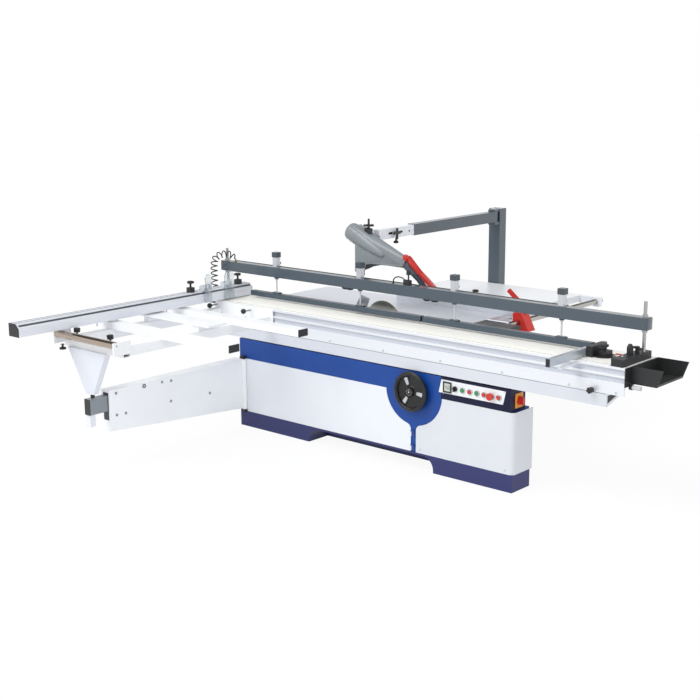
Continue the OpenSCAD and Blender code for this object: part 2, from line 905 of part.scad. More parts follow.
module air_line() {
    y = beam_y[1] + tube_r;
    color(black) {
        rod_x([hose_start[0] - 20, cylinder_x[3] + 20], y, beam_z[1] - 1, tube_r);
        for (x = cylinder_x)
            span([x - 8, x + 8], [beam_mid + cylinder_d * 0.31, y + tube_r], [beam_z[1] + 18, beam_z[1] + 30]);
        for (x = cylinder_x)
            rod_z(x, y, [beam_z[1] - 1, beam_z[1] + 18], tube_r - 1);
        span([valve_x - 24, valve_x + 24], [beam_mid - 14, beam_mid + 14], [beam_z[1], beam_z[1] + 30]);
        rod_z(valve_x + 8, beam_mid, [beam_z[1] + 30, beam_z[1] + 64], 5);
        rod_z(valve_x + 8, beam_mid, [beam_z[1] + 64, beam_z[1] + 88], 14);
        rod_z(hose_start[0], hose_start[1], [beam_z[1], hose_top - 0.2], hose_r + 3);
    }
}

// Curly hose, a round tube wound about a route in one upright plane
function route_at(s) =
    let (n = len(hose_route) - 1, k = min(floor(s), n - 1), t = s - k,
        p = hose_route[max(k - 1, 0)], a = hose_route[k], b = hose_route[k + 1], q = hose_route[min(k + 2, n)])
    0.5 * (2 * a + t * (b - p) + t * t * (2 * p - 5 * a + 4 * b - q) + t * t * t * (3 * a - p - 3 * b + q));
function route_len(k) = k == 0 ? 0 : route_len(k - 1) + norm(hose_route[k] - hose_route[k - 1]);
hose_marks = [for (k = [0:len(hose_route) - 1]) route_len(k)];
hose_len = hose_marks[len(hose_marks) - 1];
function mark_of(d, k = 0) = k >= len(hose_marks) - 2 || hose_marks[k + 1] >= d ? k : mark_of(d, k + 1);
function route_param(d) = let (k = mark_of(d)) k + (d - hose_marks[k]) / (hose_marks[k + 1] - hose_marks[k]);
function lift_off(d) = max(0, min(1, (min(d, hose_len - d) - 2 * hose_r) / 36));
function in_space(p, off) = [
    hose_start[0] + p[0] * hose_dir[0] - off * hose_dir[1],
    hose_start[1] + p[0] * hose_dir[1] + off * hose_dir[0],
    hose_top + p[1]
];
function coil_at(d) =
    let (s = route_param(d), c = route_at(s), e = 0.01, last = len(hose_route) - 1,
        v = route_at(min(s + e, last)) - route_at(max(s - e, 0)), u = v / norm(v),
        r = coil_r * lift_off(d), a = 360 * coil_turns * d / hose_len)
    in_space(c + r * cos(a) * [-u[1], u[0]], r * sin(a));
hose_count = hose_rings * coil_turns + 4;
hose_steps = concat([0, 2 * hose_r], [for (k = [1:hose_count - 1])
    2 * hose_r + (hose_len - 4 * hose_r) * k / hose_count], [hose_len - 2 * hose_r, hose_len]);
hose_path = [for (d = hose_steps) coil_at(d)];
function ring_dir(k) = k == 0 ? [0, 0, 1] : k == len(hose_path) - 1 ? [0, 0, -1]
    : let (v = hose_path[k + 1] - hose_path[k - 1]) v / norm(v);
function unit(v) = v / norm(v);
function carried(x, t) = unit(x - (x * t) * t);
function frame_x(k) = k == 0 ? [1, 0, 0] : carried(frame_x(k - 1), ring_dir(k));
hose_points = [for (k = [0:len(hose_path) - 1]) let (t = ring_dir(k), x = frame_x(k), y = cross(t, x))
    for (j = [0:hose_sides - 1]) hose_path[k]
        + hose_r * (cos(360 * j / hose_sides) * x + sin(360 * j / hose_sides) * y)];
hose_last = len(hose_path) - 1;
hose_gap = min([for (i = [0:hose_last], j = [i + hose_rings / 2:1:hose_last]) norm(hose_path[i] - hose_path[j])])
    - 2 * hose_r;
echo("Least gap of the hose to itself", hose_gap);
hose_sides_faces = [for (k = [0:hose_last - 1], j = [0:hose_sides - 1])
    let (a = k * hose_sides + j, b = k * hose_sides + (j + 1) % hose_sides, c = a + hose_sides, d = b + hose_sides)
    each [[a, c, b], [b, c, d]]];
hose_end_faces = [for (j = [1:hose_sides - 2])
    each [[0, j, j + 1], [hose_last * hose_sides, hose_last * hose_sides + j + 1, hose_last * hose_sides + j]]];

module curly_hose() {
    color(black)
    polyhedron(points = hose_points, faces = concat(hose_sides_faces, hose_end_faces));
}

module press_bar(x, stems) {
    span(x, bar_y, bar_z);
    for (c = stems) {
        span([c - 32, c + 32], [beam_mid - 16, beam_mid + 16], [bar_z[1], bar_z[1] + 8]);
        rod_z(c, beam_mid, [bar_z[1], stem_top], stem_r);
    }
}

module press_bar_left() {
    color(slate)
    press_bar(bar_left_x, [cylinder_x[0], cylinder_x[1]]);
}

module press_bar_right() {
    color(slate)
    press_bar(bar_right_x, [cylinder_x[2], cylinder_x[3]]);
}

// Outrigger table
module outrigger_frame() {
    color(pale) {
        span(clamp_plate_x, [front_y - 6, front_y], [table_z - 108, table_z - 4]);
        for (y = support_y)
            tube_x(support_x, [y - support_w / 2, y + support_w / 2], support_z, tube_wall);
        for (x = leg_x)
            tube_y([x - leg_w / 2, x + leg_w / 2], [cross_y[1] + 0.2, front_y - 6.2], leg_z, tube_wall);
        tube_x(cross_x, cross_y, leg_z, tube_wall);
        for (x = [cross_x[0] - cheek_t - 0.2, cross_x[1] + 0.2])
            difference() {
                span([x, x + cheek_t], [roller_y - 24, cross_y[1]], [leg_z[0] + 22, table_z - 8]);
                rod_x([x - 1, x + cheek_t + 1], roller_y, roller_z, axle_r + fit);
            }
        span(deck_x, deck_y, [table_z - 14, table_z - 2]);
        for (x = leg_x)
            span([x - 25, x + 25], wider(deck_y, -12), [leg_z[1] + 0.2, table_z - 14.2]);
        span([fence_mid - 30, fence_mid + 30], [support_y[1] - 25, support_y[1] + 25],
            [support_z[1] + 0.2, fence_z[0] - gap]);
    }
}

module outrigger_fittings() {
    cap_t = 8;
    color(black) {
        for (y = support_y, x = [support_x[0] - cap_t, support_x[1]])
            span([x, x + cap_t], [y - support_w / 2, y + support_w / 2], support_z);
        for (x = [clamp_plate_x[0] + 15, clamp_plate_x[1] - 210]) {
            rod_y(x, [front_y - 60, front_y - 6], table_z - 28, 6);
            translate([x, front_y - 74, table_z - 28])
                sphere(18);
        }
        for (x = [leg_x[0] + 50, leg_x[1] - 100])
            knob_z(x, (cross_y[0] + cross_y[1]) / 2, leg_z[1], 20, 44);
    }
}

module tri_outline(d) {
    polygon([
        [arm_mid - 200 + 1.4 * d, leg_z[0] - d],
        [arm_mid + 175 - 1.4 * d, leg_z[0] - d],
        [arm_mid + 36 - d, tip_z + 1 + d],
        [arm_mid - 36 + d, tip_z + 1 + d]
    ]);
}

module support_bracket() {
    color(pale) {
        difference() {
            along_y(tri_y)
                tri_outline(0);
            along_y([tri_y[0] + 5, tri_y[1] + 1])
                tri_outline(6);
        }
    }
}

module support_roller() {
    x = [cross_x[0] + 3, cross_x[1] - 3];
    color(steel) {
        rod_x(x, roller_y, roller_z, roller_d / 2);
        rod_x(wider(cross_x, 10), roller_y, roller_z, axle_r);
    }
}

// Crosscut fence
module fence_outline(d, cap) {
    bevel = 30 + 0.4 * d;
    x = wider(fence_x, -d);
    z = [fence_z[0] + d, fence_z[1] - cap];
    polygon([
        [x[0], z[0]],
        [x[1], z[0]],
        [x[1], fence_z[1] - bevel],
        [fence_x[1] - bevel + cap, z[1]],
        [x[0], z[1]]
    ]);
}

module crosscut_fence() {
    color(alloy)
    difference() {
        along_y(fence_y)
            fence_outline(0, 0);
        along_y(wider(fence_y, 1))
            fence_outline(fence_wall * 2.5, 14);
        for (x = [fence_x[0] + 12, fence_x[1] - 52])
            span([x, x + 10], wider(fence_y, 1), [fence_z[1] - 9, fence_z[1] + 1]);
        rod_z(fence_mid, pivot_y, [fence_z[0] - 1, fence_z[0] + fence_wall * 2.5 + 1], pivot_r + fit);
    }
}

module fence_fittings() {
    color(black) {
        along_y([fence_y[0] - 5, fence_y[0]])
            fence_outline(0, 0);
        for (y = [front_y - 241, front_y + 202]) {
            span([fence_mid - 20, fence_mid + 20], [y - 20, y + 20], [fence_z[1], fence_z[1] + 34]);
            knob_z(fence_mid, y, fence_z[1] + 34, 22, 40);
        }
        for (y = stop_y) {
            difference() {
                span([fence_mid - 8, fence_x[1] - 6], [y - 20, y + 20], [fence_z[1], fence_z[1] + 34]);
                span([fence_mid, fence_x[1]], [y - 12, y + 12], [fence_z[1] + 20, fence_z[1] + 40]);
            }
            for (side = [-1, 1])
                difference() {
                    span([fence_x[1] - 6, stop_axis[0] + 8], [y + side * 16 - 4, y + side * 16 + 4],
                        [fence_z[1] + 20, stop_axis[1] + 8]);
                    rod_y(stop_axis[0], wider([y - 20, y + 20], 1), stop_axis[1], 3 + fit);
                }
        }
    }
}

module flip_stop(y, w) {
    x = [stop_axis[0] - 4, stop_axis[0] + 4];
    r = w / 2;
    low = fence_z[0] + 4;
    high = fence_z[1] + 118;
    difference() {
        union() {
            span(x, [y - r, y + r], [low, high - r]);
            rod_x(x, y, high - r, r);
        }
        for (side = [-1, 1])
            span(wider(x, 1), [y + side * 16 - 4 - gap, y + side * 16 + 4 + gap], [fence_z[1] + 16, stop_axis[1] + 24]);
    }
    for (side = [-1, 1])
        rod_y(stop_axis[0], [y + side * 16 - 5, y + side * 16 + 5], stop_axis[1], 3);
}

module flip_stop_outer() {
    color(pale)
    flip_stop(stop_y[0], stop_w[0]);
}

module flip_stop_inner() {
    color(pale)
    flip_stop(stop_y[1], stop_w[1]);
}

// Mitre fence
module mitre_fence() {
    color(alloy)
    difference() {
        span(mitre_x, mitre_y, mitre_z);
        span([mitre_x[0] - 1, mitre_x[0] + 8], wider(mitre_y, 1), [mitre_z[0] + 14, mitre_z[0] + 26]);
    }
    color(black)
    span([mitre_x[0], mitre_x[1]], [mitre_y[0] - 5, mitre_y[0]], mitre_z);
}

module protractor() {
    c = mitre_axis;
    color(black)
    difference() {
        union() {
            rod_z(c[0], c[1], [table_z + slide_gap, table_z + 6], 66);
            span([mitre_x[1], c[0] + 34], [c[1] - 34, c[1] + 34], [table_z + 6, table_z + 34]);
            span([mitre_x[1], mitre_x[1] + 40], [c[1] - 80, c[1] + 80], [table_z + 6, table_z + 62]);
            knob_z(c[0] + 8, c[1] - 4, table_z + 34, 20, 34);
        }
        rod_z(c[0], c[1], [table_z, table_z + 24], 6 + fit);
    }
}

// Swinging support arm
module arm_outline(d) {
    polygon([
        [arm_y[1] - d, arm_z[0] + d],
        [arm_y[1] - d, arm_z[1] - d],
        [arm_y[0] + d, arm_z[1] - d],
        [arm_y[0] + d, arm_z[0] + 88 + d]
    ]);
}

module swing_arm() {
    color(pale)
    difference() {
        union() {
            difference() {
                along_x(arm_x)
                    arm_outline(0);
                along_x(wider(arm_x, -arm_wall))
                    arm_outline(10);
                span([arm_mid - inner_w / 2 - gap, arm_mid + inner_w / 2 + gap], [arm_y[0] - 1, arm_y[0] + 12],
                    wider(inner_z, gap));
            }
            rod_z(hinge[0], hinge[1], [lug_z[1] + gap, arm_z[1]], knuckle_r);
        }
        rod_z(hinge[0], hinge[1], [lug_z[1], band_z], hinge_r + fit);
    }
}

module arm_tube() {
    x = [arm_mid - inner_w / 2, arm_mid + inner_w / 2];
    color(grey) {
        tube_y(x, inner_y, inner_z, tube_wall);
        span(wider(x, -6), [inner_y[0], inner_y[0] + 40], [inner_z[0] - 76, inner_z[0]]);
    }
    color(black) {
        span(x, [inner_y[0] - 6, inner_y[0]], inner_z);
        rod_z(arm_mid, ball_y, [inner_z[1], inner_z[1] + 10], 9);
        translate([arm_mid, ball_y, inner_z[1] + 14])
            sphere(ball_r);
    }
}

// Saw unit
module saw_frame() {
    window_x = [blade_x - 243, blade_x + 67];
    color(iron)
    difference() {
        union() {
            difference() {
                span(plate_x, plate_y, plate_z);
                span(window_x, wider(plate_y, 1), [plate_z[0] + 40, plate_z[1] + 1]);
            }
            sector_x([saddle_x[0][0], plate_x[0] + 20], [70, saddle_r], [-3, 57]);
            sector_x([plate_x[1] - 20, saddle_x[1][1]], [70, saddle_r], [-3, 57]);
            span(plate_x, plate_y, [plate_z[0], plate_z[0] + 40]);
            span([plate_x[1] - 10, sector_x[1]], plate_y, [table_z - 190, table_z - 164]);
            sector_x(sector_x, sector_r, [-6, 52]);
            rod_y(scoring_x, [blade_y + 8, case_y[0]], scoring_z, 22);
            span([scoring_x - 28, scoring_x + 112], case_y, [scoring_z - 142, scoring_z + 20]);
            rod_y(scoring_x + 72, [case_y[1], case_y[1] + 120], scoring_z - 100, 48);
            rod_y(scoring_x + 72, [plate_y[0], case_y[0]], scoring_z - 100, 26);
        }
        rod_y(scoring_x, [blade_y + 7, case_y[0] + 1], scoring_z, scoring_r + fit);
    }
}

module toothed(d, count, depth) {
    difference() {
        circle(d / 2, $fn = 96);
        for (k = [0:count - 1])
            rotate(k * 360 / count)
                polygon([
                    [d / 2 - depth, 0],
                    [d / 2 + 1, 0],
                    [d / 2 + 1, depth * 0.9]
                ]);
    }
}

module scoring_blade() {
    y = [blade_y - blade_t / 2, blade_y + blade_t / 2];
    color(steel) {
        translate([scoring_x, y[1], scoring_z])
            rotate([90, 0, 0])
                linear_extrude(blade_t)
                    toothed(scoring_d, 20, 6);
        rod_y(scoring_x, [y[0] - 6, y[1] + 5], scoring_z, 20);
        rod_y(scoring_x, [y[1], case_y[0] - 2], scoring_z, scoring_r);
    }
}

module lift_unit() {
    arm_top = motor_z + 60;
    knife_x = blade_x - 218;
    color(slate)
    difference() {
        union() {
            span([blade_x - 230, motor_x + 95], lift_y, [table_z - 210, table_z - 48]);
            span([motor_x + 70, motor_x + 95], lift_y, [motor_z - 40, table_z - 210]);
            rod_y(blade_x, [blade_y + 12, pulley_y[0] - 6], arbor_z, 32);
            span([motor_x + 70, motor_x + 95], [lift_y[0], motor_y[0]], [motor_z - 40, arm_top]);
            span([knife_x - 10, knife_x + 10], [blade_y + 1.3, lift_y[0]], [table_z - 115, table_z - 85]);
        }
        rod_y(blade_x, [blade_y + 11, pulley_y[0] - 5], arbor_z, arbor_r + fit);
    }
}

module riving_knife() {
    x = blade_x;
    color(steel)
    along_y([blade_y - 1.3, blade_y + 1.3])
        polygon([
            [x - 238, table_z - 115],
            [x - 238, table_z + 25],
            [x - 195, table_z + 100],
            [x - 118, table_z + 82],
            [x - 146, table_z + 10],
            [x - 163, table_z - 60],
            [x - 163, table_z - 115]
        ]);
}

module main_motor() {
    flange = motor_d / 2 + 4;
    color(slate)
    difference() {
        union() {
            span([motor_x - flange, motor_x + flange], [motor_y[0], motor_y[0] + 10],
                [motor_z - flange, motor_z + flange]);
            rod_y(motor_x, [motor_y[0] + 10, motor_y[1] - 40], motor_z, motor_d / 2);
            rod_y(motor_x, [motor_y[1] - 40, motor_y[1]], motor_z, motor_d / 2 - 6);
        }
        rod_y(motor_x, [motor_y[0] - 1, motor_y[0] + 40], motor_z, motor_shaft_r + fit);
    }
}

module motor_pulley() {
    color(steel) {
        rod_y(motor_x, pulley_y, motor_z, motor_pulley_r - gap);
        rod_y(motor_x, [pulley_y[1], motor_y[0] + 36], motor_z, motor_shaft_r);
    }
}

module belt_outline(grow) {
    reach = [motor_x - blade_x, motor_z - arbor_z];
    span_len = norm(reach);
    lean = asin((motor_pulley_r - arbor_pulley_r) / span_len);
    along = atan2(reach[1], reach[0]);
    a = arbor_pulley_r + grow;
    m = motor_pulley_r + grow;
    t = 0.02;
    translate([blade_x, arbor_z])
        rotate(along) {
            circle(a);
            translate([span_len, 0])
                circle(m);
            polygon([
                [-a * sin(lean), a * cos(lean) - t],
                [span_len - m * sin(lean), m * cos(lean) - t],
                [span_len - m * sin(lean), t - m * cos(lean)],
                [-a * sin(lean), t - a * cos(lean)]
            ]);
        }
}

module drive_belt() {
    color(black)
    along_y(wider(pulley_y, -2))
        difference() {
            belt_outline(belt_t);
            belt_outline(0);
        }
}

module main_blade() {
    y = [blade_y - blade_t / 2, blade_y + blade_t / 2];
    color(steel) {
        translate([blade_x, y[1], arbor_z])
            rotate([90, 0, 0])
                linear_extrude(blade_t)
                    toothed(blade_d, 40, 8);
        rod_y(blade_x, [y[0] - 6, y[1] + 6], arbor_z, 40);
        rod_y(blade_x, [y[0] - 13, y[0]], arbor_z, 15);
        rod_y(blade_x, [y[1], pulley_y[1]], arbor_z, arbor_r);
        rod_y(blade_x, pulley_y, arbor_z, arbor_pulley_r - gap);
    }
}

module handwheel() {
    rim_r = 13;
    rim_y = front_y - 40;
    color(black) {
        translate([disc_x, rim_y, disc_z])
            rotate([90, 0, 0])
                rotate_extrude($fn = 64)
                    translate([wheel_d / 2 - rim_r, 0])
                        circle(rim_r);
        rod_y(disc_x, [rim_y - 16, rim_y + 26], disc_z, 30);
        rod_y(disc_x, [rim_y + 8, rim_y + 12], disc_z, wheel_d / 2 - rim_r);
        for (a = [115:120:355])
            translate([disc_x, rim_y, disc_z])
                rotate([0, -a, 0])
                    translate([20, -6, -13])
                        cube([wheel_d / 2 - rim_r - 18, 15, 26]);
        rod_y(disc_x, [rim_y, gearbox_y[0] + 48], disc_z, shaft_r);
    }
}

// Overhead guard
module guard_arm() {
    x = [swivel[0] - boom_w / 2, swivel[0] + boom_w / 2];
    y = [boom_y0, swivel[1] - 32];
    color(slate)
    difference() {
        union() {
            tube_y(x, y, boom_z, boom_wall);
            span(x, [y[1], swivel[1]], boom_z);
            rod_z(swivel[0], swivel[1], boom_z, boom_w / 2);
        }
        rod_z(swivel[0], swivel[1], wider(boom_z, 1), swivel_r + fit);
    }
}

module guard_slide() {
    inner = boom_wall + gap;
    x = wider([swivel[0] - boom_w / 2, swivel[0] + boom_w / 2], -inner);
    z = wider(boom_z, -inner);
    clamp_y = blade_y + 217;
    color(pale)
    difference() {
        span(x, slide_y, z);
        span([x[1] - 8, x[1] + 1], [clamp_y - 60, clamp_y + 90], [z[0] + 26, z[1] - 26]);
        span([x[0] - 1, x[1] - 8], [slide_y[0] + 8, slide_y[1] + 1], wider(z, -6));
    }
    color(black) {
        rod_x([x[1] - 8, x[1] + 20], clamp_y, (z[0] + z[1]) / 2, 10);
        span([x[1] + 20, x[1] + 30], [clamp_y - 34, clamp_y + 34], [(z[0] + z[1]) / 2 - 7, (z[0] + z[1]) / 2 + 7]);
        span([x[1] + 20, x[1] + 30], [clamp_y - 7, clamp_y + 7], [(z[0] + z[1]) / 2 - 42, (z[0] + z[1]) / 2 + 34]);
    }
}

module hood_outline() {
    b = hood_z;
    polygon([
        [-370, b - 205],
        [-370, b + 20],
        [-425, b + 40],
        [-410, b + 92],
        [-393, b + 104],
        [-238, b + 40],
        [8, b - 62],
        [40, b - 72],
        [46, b - 96],
        [26, b - 128],
        [26, b - 154],
        [-207, b - 154],
        [-288, b - 182],
        [-300, b - 205]
    ]);
}

module hood_cavity() {
    b = hood_z;
    polygon([
        [-366, b - 230],
        [-366, b + 20],
        [-421, b + 40],
        [-406, b + 88],
        [-393, b + 100],
        [-238, b + 36],
        [4, b - 66],
        [36, b - 76],
        [42, b - 96],
        [22, b - 128],
        [22, b - 230]
    ]);
}

module hood_plan(d) {
    y = wider(hood_y, -d);
    translate([0, 0, hood_z - 240])
        linear_extrude(380)
            polygon([
                [-460, y[0]],
                [-200, y[0]],
                [50, y[0] + 23],
                [50, y[1] - 31],
                [-200, y[1]],
                [-460, y[1]]
            ]);
}

module hood_barrel(from, to, r) {
    translate([-394, blade_y, hood_z + 40.3])
        rotate([0, -66.8, 0])
            translate([0, 0, from])
                cylinder(h = to - from, r = r);
}

module guard_hood() {
    b = hood_z;
    x = [swivel[0] - 34, swivel[0] + 34];
    color(grey)
    difference() {
        union() {
            difference() {
                intersection() {
                    along_y(hood_y)
                        hood_outline();
                    hood_plan(0);
                }
                hood_barrel(6, 120, spigot_r + 40);
            }
            hood_barrel(-10, 56, spigot_r);
            hood_barrel(-60, 8, spigot_r + 2);
            translate([-135, blade_y - 32, b - 72])
                rotate([0, 66.7, 174])
                    cylinder(h = 260, r1 = 20, r2 = spigot_r - 9);
            span(x, [hood_y[1] - 2, slide_y[0] - gap], [b - 60, b + 36]);
        }
        intersection() {
            along_y(hood_y)
                hood_cavity();
            hood_plan(hood_wall);
        }
        hood_barrel(-52, 57, spigot_r - 4);
    }
    color(black) {
        translate([-283, blade_y, b + 50])
            cylinder(h = 99, r = 7);
        translate([-283, blade_y, b + 100])
            cylinder(h = 10, r = 36);
    }
}

module hood_deflector() {
    b = hood_z - 60;
    y = [blade_y - 20, blade_y + 20];
    drop = min(1, (b - table_z - 40) / 196);
    color(red)
    along_y(y)
        polygon([
            [40.2, b - 12],
            [46.2, b - 36],
            [86, b - 72 * drop],
            [243, b - 196 * drop],
            [279, b - 194 * drop],
            [148, b - 96 * drop],
            [62, b - 12 * drop],
            [46, b - 5]
        ]);
    color(black)
    along_y(y)
        polygon([
            [26.2, b - 70],
            [62, b - 81 * drop],
            [127, b - 125 * drop],
            [191, b - 185 * drop],
            [156, b - 188 * drop],
            [96, b - 129 * drop],
            [26.2, b - 90]
        ]);
}

// Rip fence
module rip_fence() {
    head_x = [guide_x - 44, guide_x + 58];
    head_y = wider([rip_mid, rip_mid], 40);
    color(alloy)
    difference() {
        span(rip_x, rip_y, rip_z);
        span(wider(rip_x, 1), wider(rip_y, -5), wider(rip_z, -6));
    }
    color(red)
    difference() {
        along_y(head_y)
            polygon([
                [head_x[0], guide_z + 58],
                [head_x[0], guide_z - 52],
                [head_x[1] + 24, guide_z - 52],
                [head_x[0] + 66, guide_z + 66]
            ]);
        rod_y(guide_x, wider(head_y, 1), guide_z, guide_d / 2 + fit);
        span([head_x[0] - 1, rip_x[1]], wider(head_y, 1), [guide_z, guide_z + 70]);
        span([lever_axis[0] - 34, lever_axis[0] + 34], [rip_mid - 12, rip_mid + 12], [lever_axis[1] - 32, guide_z + 70]);
        rod_y(lever_axis[0], wider(head_y, 1), lever_axis[1] - 12, 5 + fit);
    }
}

module rip_lever() {
    x = lever_axis[0];
    z = lever_axis[1];
    color(red) {
        along_y([rip_mid - 11, rip_mid + 11])
            polygon([
                [x - 12, z - 24],
                [x + 12, z - 24],
                [x + 8, z + 62],
                [x - 92, z + 142],
                [x - 106, z + 124],
                [x - 14, z + 50]
            ]);
        rod_y(x, [rip_mid - 39, rip_mid + 39], z - 12, 5);
    }
}

// Controls
module push_button(k, r, head) {
    x = button_x + k * button_pitch;
    face = fascia_y[0] - bezel_h - button_travel;
    rod_y(x, [face, fascia_y[0] - 3], button_z, r);
    rod_y(x, [fascia_y[0] - 3, front_y + 18], button_z, 8);
    if (head > 0)
        rod_y(x, [face - head, face], button_z, stop_d / 2);
}

module start_button() {
    color(green)
    push_button(0, button_d / 2, 0);
}

module stop_button() {
    color(red)
    push_button(1, button_d / 2, 0);
}

module scoring_start() {
    color(green)
    push_button(2, button_d / 2, 0);
}

module scoring_stop() {
    color(red)
    push_button(3, button_d / 2, 0);
}

module emergency_stop() {
    color(red)
    push_button(4, button_d / 2, 16);
}

module reset_button() {
    color(red)
    push_button(5, button_d / 2, 0);
}

module selector() {
    x = button_x - 56;
    color(black) {
        rod_y(x, [fascia_y[0] - 10, fascia_y[0] - gap], button_z, 16);
        span([x - 4, x + 4], [fascia_y[0] - 22, fascia_y[0] - 10], [button_z - 15, button_z + 15]);
        rod_y(x, [fascia_y[0] - gap, front_y + 18], button_z, 8);
    }
}

module isolator_knob() {
    x = control_x[1] + 4;
    color(red) {
        rod_x([x + gap, x + 14], isolator_y, isolator_z, 24);
        span([x + 14, x + 32], [isolator_y - 8, isolator_y + 8], [isolator_z - 23, isolator_z + 23]);
        rod_x([x - 18, x + gap], isolator_y, isolator_z, 6);
    }
}

plinth();
cabinet_shell();
right_cover();
saw_housing();
main_table();
extension_table();
table_brackets();
guard_post();
slide_rail();
rail_end_caps();
guide_bar();
control_box();
control_fascia();
hinge_lugs();
access_door();
sliding_table();
table_fittings();
end_tray();
press_beam();
beam_posts();
air_cylinders();
air_line();
curly_hose();
outrigger_frame();
outrigger_fittings();
support_bracket();
support_roller();
press_bar_left();
press_bar_right();
mitre_fence();
protractor();
crosscut_fence();
fence_fittings();
flip_stop_outer();
flip_stop_inner();
swing_arm();
arm_tube();
saw_frame();
scoring_blade();
lift_unit();
riving_knife();
main_motor();
motor_pulley();
drive_belt();
main_blade();
handwheel();
guard_arm();
guard_slide();
guard_hood();
hood_deflector();
rip_fence();
rip_lever();
selector();
start_button();
stop_button();
scoring_start();
scoring_stop();
emergency_stop();
reset_button();
isolator_knob();
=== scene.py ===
import math

import bmesh
import bpy
from mathutils import Matrix, Vector


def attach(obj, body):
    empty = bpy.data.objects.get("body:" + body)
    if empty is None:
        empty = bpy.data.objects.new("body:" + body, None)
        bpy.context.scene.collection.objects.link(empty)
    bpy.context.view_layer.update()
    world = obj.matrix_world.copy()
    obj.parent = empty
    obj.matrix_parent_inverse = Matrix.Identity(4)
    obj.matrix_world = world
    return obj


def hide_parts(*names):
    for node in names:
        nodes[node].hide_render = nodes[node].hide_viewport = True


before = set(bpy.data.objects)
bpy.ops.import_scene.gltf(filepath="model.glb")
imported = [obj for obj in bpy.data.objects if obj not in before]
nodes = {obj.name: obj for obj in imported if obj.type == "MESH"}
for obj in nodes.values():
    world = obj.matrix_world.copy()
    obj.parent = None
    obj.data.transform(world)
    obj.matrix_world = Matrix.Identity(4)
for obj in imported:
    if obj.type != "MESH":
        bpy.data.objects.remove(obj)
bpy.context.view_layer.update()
scene = bpy.context.scene
scene.view_settings.view_transform = "Standard"
print("frame loaded:", len(nodes), "nodes")

toRight, toLeft, toBack = (1, 0, 0), (-1, 0, 0), (0, 1, 0)
toFront, toTop, toFloor = (0, -1, 0), (0, 0, 1), (0, 0, -1)


def newObject(name, data):
    thing = bpy.data.objects.new(name, data)
    scene.collection.objects.link(thing)
    return thing


# Camera, fitted to the straight edges of the machine

cameraFit = {
    "place": (5.0303, -6.2742, 2.424), "azimuth": 41.367, "elevation": 12.622, "roll": -0.321,
    "lens": 64.4, "sensor": 36, "farLimit": 100,
}


def makeCamera(fit):
    a, e, r = (math.radians(fit[k]) for k in ("azimuth", "elevation", "roll"))
    right = Vector((math.cos(a), math.sin(a), 0))
    up = Vector((-math.sin(a) * math.sin(e), math.cos(a) * math.sin(e), math.cos(e)))
    camX = right * math.cos(r) + up * math.sin(r)
    camY = up * math.cos(r) - right * math.sin(r)
    data = bpy.data.cameras.new("camera")
    data.lens = fit["lens"]
    data.sensor_width = fit["sensor"]
    data.clip_end = fit["farLimit"]
    cam = newObject("camera", data)
    turn = Matrix((camX, camY, right.cross(up))).transposed().to_4x4()
    cam.matrix_world = Matrix.Translation(fit["place"]) @ turn
    scene.camera = cam


makeCamera(cameraFit)
print("camera placed")


# Node helpers: an input takes a socket to link or a plain value

def tone(code):
    parts = [int(code[i:i + 2], 16) / 255 for i in (1, 3, 5)]
    return tuple(c / 12.92 if c < 0.04045 else ((c + 0.055) / 1.055) ** 2.4 for c in parts) + (1,)


def dimmed(colour, share):
    return tuple(c * share for c in colour[:3]) + (1,)


def fill(tree, node, inputs):
    for name, value in inputs.items():
        if isinstance(value, bpy.types.NodeSocket):
            tree.links.new(value, node.inputs[name])
        else:
            node.inputs[name].default_value = value


def addNode(tree, kind, inputs=None, **settings):
    node = tree.nodes.new(kind)
    for key, value in settings.items():
        setattr(node, key, value)
    fill(tree, node, inputs or {})
    return node


def mathNode(tree, operation, a, b=None, clamp=False):
    inputs = {0: a} if b is None else {0: a, 1: b}
    return addNode(tree, "ShaderNodeMath", inputs, operation=operation, use_clamp=clamp).outputs[0]


def times(tree, a, b, clamp=False):
    return mathNode(tree, "MULTIPLY", a, b, clamp)


def vectorNode(tree, operation, inputs):
    return addNode(tree, "ShaderNodeVectorMath", inputs, operation=operation).outputs


def noiseNode(tree, vector, scale, detail=3, rough=0.55):
    inputs = {"Vector": vector, "Scale": scale, "Detail": detail, "Roughness": rough}
    return addNode(tree, "ShaderNodeTexNoise", inputs).outputs["Fac"]


def rangeNode(tree, value, low, high, toLow=0.0, toHigh=1.0):
    inputs = {"Value": value, "From Min": low, "From Max": high, "To Min": toLow, "To Max": toHigh}
    return addNode(tree, "ShaderNodeMapRange", inputs).outputs["Result"]


def mixColour(tree, mask, first, second):
    return addNode(tree, "ShaderNodeMix", {0: mask, 6: first, 7: second}, data_type="RGBA").outputs[2]


def objectPlace(tree):
    return addNode(tree, "ShaderNodeTexCoord").outputs["Object"]


def splitNode(tree, vector):
    return addNode(tree, "ShaderNodeSeparateXYZ", {0: vector}).outputs


def combineNode(tree, inputs):
    return addNode(tree, "ShaderNodeCombineXYZ", inputs).outputs[0]


def surfaceNormal(tree):
    return addNode(tree, "ShaderNodeNewGeometry").outputs["Normal"]


def swingAbout(tree, value, amount, middle):
    swing = times(tree, mathNode(tree, "SUBTRACT", value, 0.5), amount)
    return mathNode(tree, "ADD", swing, middle, True)


def newGroup(name, inputs, outputs):
    group = bpy.data.node_groups.new(name, "ShaderNodeTree")
    for label, value in inputs.items():
        kind = "NodeSocketVector" if isinstance(value, tuple) else "NodeSocketFloat"
        group.interface.new_socket(name=label, in_out="INPUT", socket_type=kind).default_value = value
    for label in outputs:
        kind = "NodeSocketVector" if label == "Soft Normal" else "NodeSocketFloat"
        group.interface.new_socket(name=label, in_out="OUTPUT", socket_type=kind)
    return group, group.nodes.new("NodeGroupInput").outputs, group.nodes.new("NodeGroupOutput")


